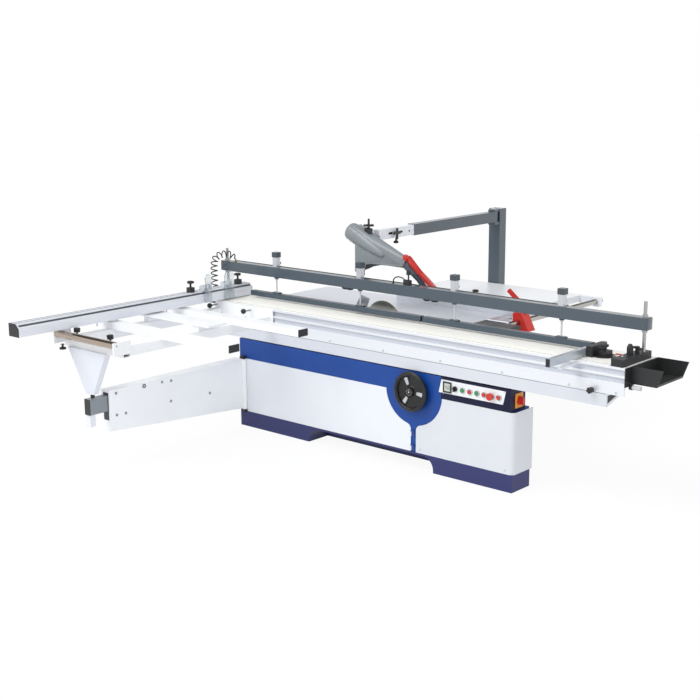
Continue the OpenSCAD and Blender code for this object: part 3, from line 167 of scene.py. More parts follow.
# Shared effects: edge wear, coat grain, drawn streaks, dust

def makeEdgeWear():
    group, given, end = newGroup("edgeWear", {"Width": 0.002, "Amount": 0.5}, ("Mask", "Soft Normal"))
    bevel = addNode(group, "ShaderNodeBevel", {"Radius": given["Width"]}, samples=4).outputs["Normal"]
    bend = vectorNode(group, "DOT_PRODUCT", {0: bevel, 1: surfaceNormal(group)})["Value"]
    edge = rangeNode(group, bend, 0.99, 0.86)
    patchy = rangeNode(group, noiseNode(group, objectPlace(group), 26), 0.38, 0.66)
    worn = times(group, times(group, edge, patchy), given["Amount"], True)
    fill(group, end, {"Mask": worn, "Soft Normal": bevel})
    return group


def makeCoatGrain():
    group, given, end = newGroup("coatGrain", {"Pitch": 420, "Smudge": 0.12, "Roughness": 0.4},
                                 ("Height", "Tint", "Roughness"))
    place = objectPlace(group)
    smudge = noiseNode(group, place, 9, 5)
    fill(group, end, {
        "Height": noiseNode(group, place, given["Pitch"], 2), "Tint": noiseNode(group, place, 3.2, 4),
        "Roughness": swingAbout(group, smudge, given["Smudge"], given["Roughness"])})
    return group


def makeDrawnStreaks():
    group, given, end = newGroup("drawnStreaks", {"Stretch": (2.0, 600, 600), "Roughness": 0.3, "Swing": 0.16},
                                 ("Streak", "Roughness"))
    scaled = vectorNode(group, "MULTIPLY", {0: objectPlace(group), 1: given["Stretch"]})["Vector"]
    streak = noiseNode(group, scaled, 1.0, 4, 0.6)
    fill(group, end, {"Streak": streak, "Roughness": swingAbout(group, streak, given["Swing"], given["Roughness"])})
    return group


def makeShopDust():
    group, given, end = newGroup("shopDust", {"Amount": 0.1}, ("Mask",))
    upward = rangeNode(group, splitNode(group, surfaceNormal(group))["Z"], 0.6, 1.0)
    patchy = rangeNode(group, noiseNode(group, objectPlace(group), 5, 5), 0.35, 0.75)
    dusty = times(group, upward, patchy)
    fill(group, end, {"Mask": times(group, dusty, given["Amount"], True)})
    return group


edgeWear, coatGrain, drawnStreaks, shopDust = makeEdgeWear(), makeCoatGrain(), makeDrawnStreaks(), makeShopDust()
looks = {}


def newLook(name):
    looks[name] = bpy.data.materials.new(name)
    looks[name].use_nodes = True
    tree = looks[name].node_tree
    tree.nodes.clear()
    return tree


def newShader(name, wearers):
    tree = newLook(name)
    for wearer in wearers.split():
        nodes[wearer].data.materials.clear()
        nodes[wearer].data.materials.append(looks[name])
    shader = addNode(tree, "ShaderNodeBsdfPrincipled")
    addNode(tree, "ShaderNodeOutputMaterial", {0: shader.outputs[0]})
    return tree, shader


def useGroup(tree, group, inputs):
    return addNode(tree, "ShaderNodeGroup", inputs, node_tree=group).outputs


def bumpNode(tree, height, depth, normal=None):
    inputs = {"Strength": 1.0, "Distance": depth, "Height": height}
    if normal:
        inputs["Normal"] = normal
    return addNode(tree, "ShaderNodeBump", inputs).outputs[0]


# A second colour inside one solid, by its place in metres: "X>0.5 Z<0.8" is one box, and a bar parts the boxes

def zoneMask(tree, boxes):
    split = splitNode(tree, objectPlace(tree))
    total = None
    for box in boxes.split("|"):
        inside = None
        for term in box.split():
            operation = "GREATER_THAN" if term[1] == ">" else "LESS_THAN"
            test = mathNode(tree, operation, split[term[0]], float(term[2:]))
            inside = times(tree, inside, test) if inside else test
        total = mathNode(tree, "MAXIMUM", total, inside) if total else inside
    return total


def paintZones(tree, shade, zones):
    covered = None
    for colour, boxes in (zones or {}).items():
        mask = zoneMask(tree, boxes)
        shade = mixColour(tree, mask, shade, tone(colour))
        covered = mathNode(tree, "MAXIMUM", covered, mask) if covered else mask
    return shade, covered


def paintLook(name, wearers, colour, rough=0.42, worn="#c9ccd2", wear=0.3, dust=0.06, zones=None, coat=0.15, gloss=0.25,
              shine=0.5):
    tree, shader = newShader(name, wearers)
    grain = useGroup(tree, coatGrain, {"Pitch": 420, "Smudge": 0.14, "Roughness": rough})
    edge = useGroup(tree, edgeWear, {"Width": 0.0022, "Amount": wear})
    film = useGroup(tree, shopDust, {"Amount": dust})
    base = tone(colour)
    paint, _ = paintZones(tree, mixColour(tree, grain["Tint"], base, dimmed(base, 0.9)), zones)
    paint = mixColour(tree, edge["Mask"], paint, tone(worn))
    fill(tree, shader, {
        "Base Color": mixColour(tree, film["Mask"], paint, tone("#d9d4c8")), "Roughness": grain["Roughness"],
        "Coat Weight": coat, "Coat Roughness": gloss, "Specular IOR Level": shine,
        "Normal": bumpNode(tree, grain["Height"], 0.00012, edge["Soft Normal"])})


def paleLook(name, wearers, colour, rough=0.4, zones=None):
    paintLook(name, wearers, colour, rough, worn="#b9bdc4", wear=0.2, zones=zones)


def metalLook(name, wearers, colour, rough=0.3, stretch=(2.0, 600, 600), metal=0.9, swing=0.16, zones=None):
    tree, shader = newShader(name, wearers)
    drawn = useGroup(tree, drawnStreaks, {"Stretch": stretch, "Roughness": rough, "Swing": swing})
    edge = useGroup(tree, edgeWear, {"Width": 0.0014, "Amount": 0.2})
    base = tone(colour)
    shade = mixColour(tree, drawn["Streak"], dimmed(base, 0.86), base)
    shade, covered = paintZones(tree, mixColour(tree, edge["Mask"], shade, tone("#f2f4f7")), zones)
    if covered:
        metal = times(tree, mathNode(tree, "SUBTRACT", 1.0, covered), metal)
    fill(tree, shader, {
        "Base Color": shade, "Metallic": metal, "Roughness": drawn["Roughness"],
        "Normal": bumpNode(tree, drawn["Streak"], 0.00002, edge["Soft Normal"])})


def plasticLook(name, wearers, colour, rough=0.45, pitch=900, depth=0.00015, wear=0.25, coat=0.0, zones=None):
    tree, shader = newShader(name, wearers)
    grain = useGroup(tree, coatGrain, {"Pitch": pitch, "Smudge": 0.12, "Roughness": rough})
    edge = useGroup(tree, edgeWear, {"Width": 0.0015, "Amount": wear})
    base = tone(colour)
    light = tuple(min(1, c * 1.5 + 0.02) for c in base[:3]) + (1,)
    shade, _ = paintZones(tree, mixColour(tree, grain["Tint"], base, dimmed(base, 0.88)), zones)
    fill(tree, shader, {
        "Base Color": mixColour(tree, edge["Mask"], shade, light), "Roughness": grain["Roughness"],
        "Coat Weight": coat, "Normal": bumpNode(tree, grain["Height"], depth, edge["Soft Normal"])})


def blackLook(name, wearers, zones=None):
    plasticLook(name, wearers, "#232427", 0.46, zones=zones)


def ringsLook(name, wearers, colour, centre, axes=(1, 0, 1), rough=0.25):
    tree, shader = newShader(name, wearers)
    shift = addNode(tree, "ShaderNodeMapping", {"Location": [-c for c in centre], "Vector": objectPlace(tree)})
    flat = vectorNode(tree, "MULTIPLY", {0: shift.outputs[0], 1: axes})["Vector"]
    reach = vectorNode(tree, "LENGTH", {0: flat})["Value"]
    rings = noiseNode(tree, combineNode(tree, {0: reach}), 900, 3)
    base = tone(colour)
    shade = mixColour(tree, rings, dimmed(base, 0.72), base)
    tips = rangeNode(tree, reach, 0.142, 0.1435)
    fill(tree, shader, {
        "Base Color": mixColour(tree, tips, shade, tone("#b9b48f")), "Metallic": 1.0,
        "Roughness": rangeNode(tree, rings, 0.2, 0.8, rough - 0.08, rough + 0.12),
        "Normal": bumpNode(tree, rings, 0.00002)})


def threadLook(name, wearers, colour, pitch):
    tree, shader = newShader(name, wearers)
    place = objectPlace(tree)
    wave = mathNode(tree, "PINGPONG", splitNode(tree, place)["Z"], pitch / 2)
    height = times(tree, wave, 2 / pitch)
    base = tone(colour)
    # Painted shade: the colour darkens in the thread valleys, following the same height as the bump
    fill(tree, shader, {
        "Base Color": mixColour(tree, height, dimmed(base, 0.72), base), "Metallic": 1.0,
        "Roughness": rangeNode(tree, noiseNode(tree, place, 60), 0.3, 0.7, 0.2, 0.36),
        "Normal": bumpNode(tree, height, pitch * 0.06)})


def clearLook(name, wearers, colour):
    tree, shader = newShader(name, wearers)
    grain = useGroup(tree, coatGrain, {"Pitch": 60, "Smudge": 0.05, "Roughness": 0.06})
    base = tone(colour)
    fill(tree, shader, {
        "Base Color": mixColour(tree, grain["Tint"], base, dimmed(base, 0.97)), "Roughness": grain["Roughness"],
        "Transmission Weight": 0.85, "IOR": 1.46, "Normal": bumpNode(tree, grain["Height"], 0.0001)})


drawnX, drawnY = (1.5, 700, 700), (700, 1.5, 700)
# Painted shade: a darker colour inside the sliding table's two front T-slot recesses, standing in for the shade in them
tableGrooveShade = " | ".join(f"Y>-0.4205 Y<-0.405 Z>{low} Z<{low + 0.0298}" for low in (0.7722, 0.8162))
# Painted shade: a dark colour inside the two slots on top of the crosscut fence, standing in for the shade in them
fenceSlotShade = " | ".join(f"X>{low} X<{low + 0.0104} Z>0.938 Z<0.9474" for low in (-1.3852, -1.3522))

# Finishes: name, nodes that wear it, colour

paintLook("navyPaint", "plinth", "#323668", 0.45, wear=0.15, dust=0.02, coat=0.04, shine=0.3)
paintLook("boxPaint", "control_box", "#191b38", 0.42, wear=0.15, dust=0.02, coat=0.0, shine=0.2)
paintLook("bluePaint", "cabinet_shell", "#174594", 0.42, wear=0.15, dust=0.02, coat=0.03, shine=0.3)
paleLook("palePaint", "right_cover saw_housing", "#d7dadf")
# doorPaint and swingPaint are the cover's pale paint made brighter: painted light that makes up for the shade falling
# on the door and on the swing arm's side
paleLook("doorPaint", "access_door", "#e7eaf0")
paleLook("swingPaint", "swing_arm", "#fafcff", zones={"#27343b": "Y<-1.5985 X>-1.148 X<-1.096 Z>0.287 Z<0.466"})
paleLook("bracketPaint", "support_bracket", "#e1e5ee", 0.38)
paleLook("topPaint", "extension_table", "#e5e7ea", 0.38)
paleLook("tubePaint", "outrigger_frame", "#f8f9fb", 0.38)
paintLook("slatePaint", "guard_post press_beam guard_arm", "#3d4b57", 0.4, worn="#9aa3ab", wear=0.35, coat=0.7,
          gloss=0.16)
paintLook("pressPaint", "press_bar_left press_bar_right", "#414f5b", 0.4, worn="#9aa3ab", wear=0.35,
          zones={"#c4c7cb": "Z>0.9187"})
paleLook("shelfPaint", "table_brackets", "#e9ecf2", zones={"#1a1b1d": "X>0.4955 Z>0.8355 Y<0.1845"})
paintLook("armTubePaint", "arm_tube", "#878e94", 0.38, zones={"#1b1c1e": "Z>0.4472 | Y<-1.7351", "#e3e6ec": "Z<0.3468"})
paintLook("slidePaint", "guard_slide", "#eceef3", 0.36, zones={"#17181a": "X>-0.2441"})
paintLook("motorPaint", "lift_unit main_motor", "#4d565f", 0.5)
metalLook("groundIron", "main_table", "#dfe1ea", 0.34, (3.0, 500, 500), 0.55, 0.14)
metalLook("roughIron", "saw_frame", "#8d9098", 0.55, (60, 60, 60), 0.5, 0.2)
# The cream top zone is the table's own colour; the groove zone is painted shade
metalLook("tableAlloy", "sliding_table", "#edf0f5", 0.36, drawnX, 0.35, 0.12,
          {"#fffdf6": "Z>0.8596", "#c6cbd4": tableGrooveShade})
# Painted shade: a darker band along the top of the rail's front face, standing in for the shadow line in the gap under
# the sliding table
metalLook("railAlloy", "slide_rail", "#e0e4ec", 0.38, drawnX, 0.45, 0.12, {"#8a9098": "Z>0.6985 Y<-0.4299"})
# The first zone, in the fence's top slots, is painted shade
metalLook("fenceAlloy", "crosscut_fence", "#edf0f8", 0.34, drawnY, 0.25, 0.12,
          {"#3a3d42": fenceSlotShade, "#4a4e55": "X>-1.3305 Z>0.929 Z<0.939 Y>-2.07 Y<-0.14"})
metalLook("mitreAlloy", "mitre_fence", "#c9d0d8", 0.32, drawnY, 0.6, 0.12, {"#1a1b1d": "Y<-0.68801"})
metalLook("ripMix", "rip_fence", "#d5d9df", 0.34, drawnX, 0.5, 0.12, {"#c8261c": "X>0.5801 | Z<0.8602"})
metalLook("fasciaAlloy", "control_fascia", "#eef0f3", 0.36, (2.0, 600, 900), 0.15, 0.1)
metalLook("barrelAlloy", "air_cylinders", "#d3d6da", 0.28, (500, 500, 2.0), 0.8, 0.12,
          {"#3d464e": "Z>1.1642 | Z<1.0275"})
metalLook("turnedSteel", "motor_pulley", "#c4c7cb", 0.26, (300, 6.0, 300), 0.95)
metalLook("plateSteel", "riving_knife", "#d0d3d8", 0.3, (6.0, 300, 300), 0.85)
metalLook("screwSteel", "", "#7f8288", 0.35, (300, 300, 300), 0.7)
metalLook("chromeBar", "guide_bar", "#bab7b4", 0.1, (300, 3.0, 300), 1.0, 0.06)
metalLook("chromeRoller", "support_roller", "#b8a99c", 0.12, (3.0, 300, 300), 1.0, 0.08)
ringsLook("bladeSteel", "main_blade", "#c2c1bd", (-0.157, -0.048, 0.791))
ringsLook("scorerSteel", "scoring_blade", "#c2c1bd", (0.078, -0.048, 0.802))
threadLook("postThread", "beam_posts", "#b9babb", 0.0025)
blackLook("blackPlastic", "rail_end_caps air_line protractor handwheel selector")
blackLook("fittingPlastic", "table_fittings", {"#c3c6ca": "X>1.8621"})
blackLook("stopPlastic", "fence_fittings", {"#cdd2d8": "Y>-0.586 Y<-0.544 | Y>-0.389 Y<-0.347"})
blackLook("clampPlastic", "outrigger_fittings", {"#9aa0a6": "Y>-0.4902 Y<-0.4362"})
plasticLook("wheelPlastic", "", "#131314", 0.4)
blackLook("hingePlastic", "hinge_lugs", {"#29478f": "X>0.0"})
plasticLook("trayPlastic", "end_tray", "#252627", 0.5, 500, 0.00025)
plasticLook("hoodPlastic", "guard_hood", "#838a8e", 0.36, 260, 0.00025, 0.15, 0.1)
plasticLook("redPlastic", "hood_deflector rip_lever stop_button scoring_stop emergency_stop reset_button isolator_knob",
            "#c9281f", 0.32, 400, 0.0001, 0.2, 0.3)
plasticLook("greenPlastic", "start_button scoring_start", "#1f8a4c", 0.3, 400, 0.0001, 0.2, 0.3)
plasticLook("yellowPlastic", "", "#e9912a", 0.4, 400, 0.0001)
plasticLook("hoseRubber", "curly_hose", "#1d1e20", 0.38, 700, 0.00012, 0.0, 0.2)
plasticLook("beltRubber", "drive_belt", "#1b1b1c", 0.7, 300, 0.0003, 0.1)
clearLook("clearPlastic", "flip_stop_outer flip_stop_inner", "#eef4f7")
plasticLook("screenGlass", "", "#c3c9bd", 0.2, 200, 0.00002, 0.0, 0.6)
plasticLook("inkBlack", "", "#1c1d22", 0.5, 400, 0.00002, 0.0)
plasticLook("inkWhite", "", "#f0f0ee", 0.5, 400, 0.00002, 0.0)
metalLook("brassFitting", "", "#b59a55", 0.28, (300, 300, 6.0), 1.0)
print("finishes on", len(nodes), "nodes")


# Mesh helpers: profiles and outlines are listed in millimetres

def mm(pairs):
    return [(a / 1000, b / 1000) for a, b in pairs]


def boxInto(bm, low, high, round=0.0, steps=2):
    made = bmesh.ops.create_cube(bm, size=1.0)
    size = Vector(high) - Vector(low)
    middle = (Vector(high) + Vector(low)) / 2
    bmesh.ops.transform(bm, matrix=Matrix.Translation(middle) @ Matrix.Diagonal((*size, 1)), verts=made["verts"])
    if round > 0:
        edges = list({e for v in made["verts"] for e in v.link_edges})
        bmesh.ops.bevel(bm, geom=edges, offset=round, segments=steps, profile=0.5, affect="EDGES")


def turns(count):
    return [2 * math.pi * k / count for k in range(count)]


def skinInto(bm, rows, capped=True):
    for first, second in zip(rows, rows[1:]):
        count = len(first)
        for k in range(count):
            ring = [first[k], first[(k + 1) % count], second[(k + 1) % count], second[k]]
            corners = list(dict.fromkeys(ring))
            if len(corners) > 2:
                bm.faces.new(corners)
    if capped:
        bm.faces.new(list(reversed(rows[0])))
        bm.faces.new(rows[-1])


def latheInto(bm, profile, centre, axis, sides=40):
    axis = Vector(axis).normalized()
    side = axis.orthogonal().normalized()
    other = axis.cross(side)
    rows = []
    for radius, height in profile:
        foot = Vector(centre) + axis * height
        if radius < 1e-6:
            rows.append([bm.verts.new(foot)] * sides)
            continue
        rows.append([bm.verts.new(foot + (side * math.cos(a) + other * math.sin(a)) * radius) for a in turns(sides)])
    skinInto(bm, rows, False)


def rodInto(bm, start, end, radius, sides=24, round=0.0):
    length = (Vector(end) - Vector(start)).length
    profile = [(0, 0), (radius, 0), (radius, length), (0, length)]
    if round > 0:
        profile[1:3] = [(radius - round, 0), (radius, round), (radius, length - round), (radius - round, length)]
    latheInto(bm, profile, start, Vector(end) - Vector(start), sides)


def prismInto(bm, outline, low, high):
    near = [bm.verts.new((x, low, z)) for x, z in outline]
    far = [bm.verts.new((x, high, z)) for x, z in outline]
    count = len(outline)
    for k in range(count):
        bm.faces.new((near[k], near[(k + 1) % count], far[(k + 1) % count], far[k]))
    return [bm.faces.new(near), bm.faces.new(list(reversed(far)))]


def bevelCaps(bm, caps, offset, steps):
    edges = [e for e in bm.edges if any(f in caps for f in e.link_faces)]
    bmesh.ops.bevel(bm, geom=edges, offset=offset, segments=steps, profile=0.5, affect="EDGES")


def tubeInto(bm, path, radius, sides=10):
    points = [Vector(p) for p in path]
    last = len(points) - 1
    side = None
    rows = []
    for k, point in enumerate(points):
        along = (points[min(k + 1, last)] - points[max(k - 1, 0)]).normalized()
        side = along.orthogonal().normalized() if side is None else (side - along * side.dot(along)).normalized()
        other = along.cross(side)
        rows.append([bm.verts.new(point + (side * math.cos(a) + other * math.sin(a)) * radius) for a in turns(sides)])
    skinInto(bm, rows)


def finishMesh(name, bm, look, smooth=35):
    bmesh.ops.remove_doubles(bm, verts=bm.verts, dist=1e-6)
    bmesh.ops.recalc_face_normals(bm, faces=bm.faces)
    mesh = bpy.data.meshes.new(name)
    bm.to_mesh(mesh)
    bm.free()
    mesh.materials.append(looks[look])
    mesh.polygons.foreach_set("use_smooth", [True] * len(mesh.polygons))
    mesh.set_sharp_from_angle(angle=math.radians(smooth))
    return mesh


def bakedMesh(holder):
    bpy.context.view_layer.update()
    made = bpy.data.meshes.new_from_object(holder.evaluated_get(bpy.context.evaluated_depsgraph_get()))
    bpy.data.objects.remove(holder)
    return made


def addPiece(name, mesh, body, stands=()):
    piece = newObject(name, mesh)
    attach(piece, body)
    if stands:
        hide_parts(*stands)
    return piece


def addMesh(name, bm, look, body, stands=(), smooth=35):
    addPiece(name, finishMesh(name, bm, look, smooth), body, stands)


def upright(angle):
    return Vector((math.cos(angle), 0, math.sin(angle))), Vector((-math.sin(angle), 0, math.cos(angle)))


# Curly air hose: the same route as the solid, finer rings

hose = {
    "radius": 0.004, "coil": 0.023, "turns": 12, "steps": 16, "rise": 0.036,
    "start": (-1.42, -0.175, 1.104), "lean": (-0.8216, -0.5701),
    "route": [(0, 0), (0, 10), (14, 27), (55, 42), (104, 40), (142, 16), (156, -24), (158, -64), (158, -104),
              (158, -144), (158, -184), (158, -210), (158, -234)],
}


def hosePoints(h):
    route = [Vector(pair) for pair in mm(h["route"])]
    marks = [0.0]
    for a, b in zip(route, route[1:]):
        marks.append(marks[-1] + (b - a).length)
    total, last = marks[-1], len(route) - 1

    def routeAt(s):
        k = min(int(s), last - 1)
        t = s - k
        p, a, b, q = route[max(k - 1, 0)], route[k], route[k + 1], route[min(k + 2, last)]
        return 0.5 * (2 * a + t * (b - p) + t * t * (2 * p - 5 * a + 4 * b - q) + t ** 3 * (3 * a - p - 3 * b + q))

    def param(d):
        k = next((i for i in range(last - 1) if marks[i + 1] >= d), last - 1)
        return k + (d - marks[k]) / (marks[k + 1] - marks[k])

    def coilAt(d):
        s = param(d)
        along = (routeAt(min(s + 0.01, last)) - routeAt(max(s - 0.01, 0))).normalized()
        lift = max(0.0, min(1.0, (min(d, total - d) - 2 * h["radius"]) / h["rise"]))
        turn = 2 * math.pi * h["turns"] * d / total
        flat = routeAt(s) + Vector((-along.y, along.x)) * h["coil"] * lift * math.cos(turn)
        off = h["coil"] * lift * math.sin(turn)
        (x, y, z), lean = h["start"], h["lean"]
        return Vector((x + flat.x * lean[0] - off * lean[1], y + flat.x * lean[1] + off * lean[0], z + flat.y))

    count, end = h["steps"] * h["turns"], h["radius"]
    free = total - 4 * end
    coiled = [2 * end + free * k / count for k in range(count + 1)]
    return [coilAt(d) for d in [0, end, *coiled, total - end, total]]


def makeHose(h):
    points = hosePoints(h)
    curve = bpy.data.curves.new("airHose", "CURVE")
    curve.dimensions = "3D"
    curve.bevel_depth = h["radius"]
    curve.bevel_resolution = 4
    curve.use_fill_caps = True
    line = curve.splines.new("POLY")
    line.points.add(len(points) - 1)
    for point, place in zip(line.points, points):
        point.co = (*place, 1)
    line.use_smooth = True
    curve.materials.append(looks["hoseRubber"])
    piece = addPiece("airHose", curve, "table", ["curly_hose"])


makeHose(hose)


# Geometry Nodes: scattered parts, ruler marks, dial marks

def newTree(name, inputs):
    tree = bpy.data.node_groups.new(name, "GeometryNodeTree")
    tree.is_modifier = True
    names = {}
    for label, kind in {"Geometry": "Geometry", **inputs}.items():
        socket = tree.interface.new_socket(name=label, in_out="INPUT", socket_type="NodeSocket" + kind)
        names[label] = socket.identifier
    tree.interface.new_socket(name="Geometry", in_out="OUTPUT", socket_type="NodeSocketGeometry")
    return tree, names, tree.nodes.new("NodeGroupInput").outputs


def closeTree(tree, given, instances):
    solid = addNode(tree, "GeometryNodeRealizeInstances", {"Geometry": instances}).outputs[0]
    dress = addNode(tree, "GeometryNodeSetMaterial", {"Geometry": solid, "Material": given["Finish"]})
    addNode(tree, "NodeGroupOutput", {0: dress.outputs[0]})


def turnNode(tree, angles):
    return addNode(tree, "FunctionNodeEulerToRotation", {0: angles}).outputs[0]


def putNode(tree, points, part, turn, size):
    inputs = {"Points": points, "Instance": part, "Rotation": turn, "Scale": size}
    return addNode(tree, "GeometryNodeInstanceOnPoints", inputs).outputs[0]


def makeScatterTree():
    tree, names, given = newTree("scatterParts", {
        "Part": "Object", "Turn": "Vector", "Size": "Float", "Spin": "Float", "Finish": "Material"})
    points = addNode(tree, "GeometryNodeMeshToPoints", {"Mesh": given["Geometry"]}).outputs[0]
    part = addNode(tree, "GeometryNodeObjectInfo", {"Object": given["Part"]}).outputs["Geometry"]
    put = putNode(tree, points, part, turnNode(tree, given["Turn"]), given["Size"])
    chance = addNode(tree, "FunctionNodeRandomValue", {"Seed": 7}, data_type="FLOAT").outputs[1]
    about = combineNode(tree, {2: times(tree, chance, given["Spin"])})
    spun = addNode(tree, "GeometryNodeRotateInstances", {"Instances": put, "Rotation": turnNode(tree, about)})
    closeTree(tree, given, spun.outputs[0])
    return tree, names


def markLength(tree, index, longest):
    def every(step):
        hit = mathNode(tree, "LESS_THAN", mathNode(tree, "MODULO", index, step), 0.5)
        return times(tree, hit, 0.25)
    share = mathNode(tree, "ADD", mathNode(tree, "ADD", every(5), every(10)), 0.5)
    return times(tree, share, longest)


def makeMarksTree(name, round):
    tree, names, given = newTree(name, {
        "Count": "Int", "Step": "Float", "Reach": "Float", "Mark length": "Float", "Mark width": "Float",
        "Finish": "Material"})
    line = addNode(tree, "GeometryNodeMeshLine", {"Count": given["Count"], "Offset": (0, 0, 0)}).outputs[0]
    index = addNode(tree, "GeometryNodeInputIndex").outputs[0]
    along = times(tree, index, given["Step"])
    length = markLength(tree, index, given["Mark length"])
    away = mathNode(tree, "SUBTRACT", given["Reach"], times(tree, length, 0.5))
    place, turn = {0: along, 1: away}, {}
    if round:
        waves = [mathNode(tree, wave, along) for wave in ("COSINE", "SINE")]
        place = {k: times(tree, wave, away) for k, wave in enumerate(waves)}
        turn = {2: mathNode(tree, "SUBTRACT", along, math.pi / 2)}
    moved = addNode(tree, "GeometryNodeSetPosition", {"Geometry": line, "Position": combineNode(tree, place)})
    mark = addNode(tree, "GeometryNodeMeshCube", {"Size": (1, 1, 1)}).outputs[0]
    thickness = 0.0004
    size = combineNode(tree, {0: given["Mark width"], 1: length, 2: thickness})
    put = putNode(tree, moved.outputs[0], mark, turnNode(tree, combineNode(tree, turn)), size)
    closeTree(tree, given, put)
    return tree, names


scatterTree = makeScatterTree()
rulerTree, dialTree = makeMarksTree("rulerMarks", False), makeMarksTree("dialMarks", True)


def runTree(name, treeAndNames, places, values, place, look, body):
    mesh = bpy.data.meshes.new(name)
    mesh.from_pydata(places, [], [])
    carrier = newObject(name + "Points", mesh)
    modifier = carrier.modifiers.new("nodes", "NODES")
    modifier.node_group, names = treeAndNames
    for label, value in {**values, "Finish": looks[look]}.items():
        modifier[names[label]] = value
    made = bakedMesh(carrier)
    made.name = name
    made.transform(place)
    made.set_sharp_from_angle(angle=math.radians(35))
    addPiece(name, made, body)


def scatter(name, part, places, facing, body, look, size=1.0, spin=6.2831):
    turn = Vector(toTop).rotation_difference(Vector(facing)).to_euler()
    values = {"Part": part, "Turn": tuple(turn), "Size": size, "Spin": spin}
    runTree(name, scatterTree, places, values, Matrix.Identity(4), look, body)


def marks(name, tree, count, step, reach, length, width, place, body, look):
    values = {"Count": count, "Step": step, "Reach": reach, "Mark length": length, "Mark width": width}
    runTree(name, tree, [], values, place, look, body)


# Small parts that are repeated: socket screw, hex nut, lobed knob, louvre

def template(name, bm, smooth=35):
    return newObject(name, finishMesh(name, bm, "blackPlastic", smooth))


def socketScrew():
    bm = bmesh.new()
    profile = [(0, -1), (3.4, -1), (3.8, 2.2), (6.2, 2.8), (7.2, 1.6), (7.4, -1), (0, -1.2)]
    latheInto(bm, mm(profile), (0, 0, 0), toTop, 12)
    return template("screwPart", bm)


def hexNut():
    bm = bmesh.new()
    profile = [(0, -1), (9, -1), (10, 0), (10, 6), (8.8, 7.2), (5.5, 7.2), (5.2, 9.5), (0, 10)]
    latheInto(bm, mm(profile), (0, 0, 0), toTop, 6)
    return template("nutPart", bm, 25)


def lobedKnob():
    bm = bmesh.new()
    lobes, dent = 5, 0.16
    rows = []
    for radius, height in [(0.2, 0.0), (0.86, 0.02), (1.0, 0.14), (1.0, 0.5), (0.84, 0.62), (0.45, 0.7)]:
        row = []
        for a in turns(40):
            r = radius * (1 - (dent if radius > 0.5 else 0) * (0.5 - 0.5 * math.cos(lobes * a)))
            row.append(bm.verts.new((math.cos(a) * r, math.sin(a) * r, height)))
        rows.append(row)
    skinInto(bm, rows)
    return template("knobPart", bm, 50)


def louvre():
    bm = bmesh.new()
    outline = [(0.0, 0.0), (0.012, 0.0), (0.01, 0.0042), (0.004, 0.0055)]
    skinInto(bm, [[bm.verts.new((x, y, z)) for y, z in outline] for x in (-0.055, 0.055)])
    return template("louvrePart", bm)


screwPart, nutPart, knobPart, louvrePart = socketScrew(), hexNut(), lobedKnob(), louvre()

fasteners = {
    "armScrews": [(-1.545, 0.455), (-1.546, 0.314), (-1.475, 0.312), (-1.171, 0.455), (-1.095, 0.45),
                  (-1.102, 0.314), (-0.76, 0.3)],
    "tableScrews": [-1.18, -0.734, -0.288, 0.158, 0.605, 1.051, 1.498, 1.791],
    "railBolts": [-1.25, -0.65, -0.05, 0.55, 1.15, 1.65],
    "coverScrews": [(0.455, 0.13), (1.085, 0.13)],
    "housingBack": [(-0.86, 0.15), (-0.86, 0.45), (-0.86, 0.79), (-0.4, 0.79), (0.05, 0.79), (0.44, 0.79),
                    (0.44, 0.45), (0.44, 0.15)],
    "fasciaScrews": [(0.632, 0.52), (0.632, 0.602), (1.06, 0.528), (1.072, 0.602)],
    "postBolts": [(x, y, 0.012) for x in (-0.365, -0.205) for y in (1.358, 1.502)],
    "cylinders": (-1.013, -0.248, 0.517, 1.282), "footNut": (-0.022, 0.022),
    "louvres": [0.3 + 0.028 * k for k in range(11)],
}


def makeFasteners(f):
    pairs = f["cylinders"][:2], f["cylinders"][2:]
    leftFeet, rightFeet = ([(x + s, -0.175, 0.9185) for x in pair for s in f["footNut"]] for pair in pairs)
    armScrews, pivotScrew = f["armScrews"], [(-1.088, -1.32, 0.458)]
    clampPlate, block = (-1.3, -1.06, -0.83), (-0.345, -0.14)
    for name, places, facing, size in (
            ("armScrews", [(-1.088, y, z) for y, z in armScrews], toRight, 1.25),
            ("armPivotScrew", pivotScrew, toRight, 2.0),
            ("armScrewsLeft", [(-1.168, y, z) for y, z in armScrews], toLeft, 1.25)):
        scatter(name, screwPart, places, facing, "arm", "screwSteel", size)
    for name, places, facing, body, size in (
            ("tableScrews", [(x, -0.43, 0.716) for x in f["tableScrews"]], toFront, "table", 1.0),
            ("railBolts", [(x, -0.24, 0.672) for x in f["railBolts"]], toBack, "base", 1.0),
            ("coverScrews", [(x, -0.43, z) for x, z in f["coverScrews"]], toFront, "base", 0.8),
            ("housingScrews", [(x, 0.48, z) for x, z in f["housingBack"]], toBack, "base", 1.2),
            ("fasciaScrews", [(x, -0.432, z) for x, z in f["fasciaScrews"]], toFront, "base", 0.45),
            ("blockScrews", [(1.772, y, 0.902) for y in block], toTop, "table", 1.0),
            ("clampPlateScrews", [(x, -0.436, 0.775) for x in clampPlate], toFront, "table", 1.0)):
        scatter(name, screwPart, places, facing, body, "plateSteel", size)
    for name, places, facing, body, size in (
            ("postBolts", f["postBolts"], toTop, "base", 1.3),
            ("swivelNut", [(-0.27, 1.355, 1.414)], toTop, "base", 1.6),
            ("cylinderNuts", [(x, -0.175, 1.015) for x in f["cylinders"]], toFloor, "table", 1.1),
            ("footNutsLeft", leftFeet, toTop, "press_left", 0.55),
            ("footNutsRight", rightFeet, toTop, "press_right", 0.55)):
        scatter(name, nutPart, places, facing, body, "turnedSteel", size)
    for name, x in (("housingLouvres", 0.3), ("housingLouvresLeft", -0.6)):
        scatter(name, louvrePart, [(x, 0.48, z) for z in f["louvres"]], toBack, "base", "palePaint", 1.0, 0.0)


makeFasteners(fasteners)

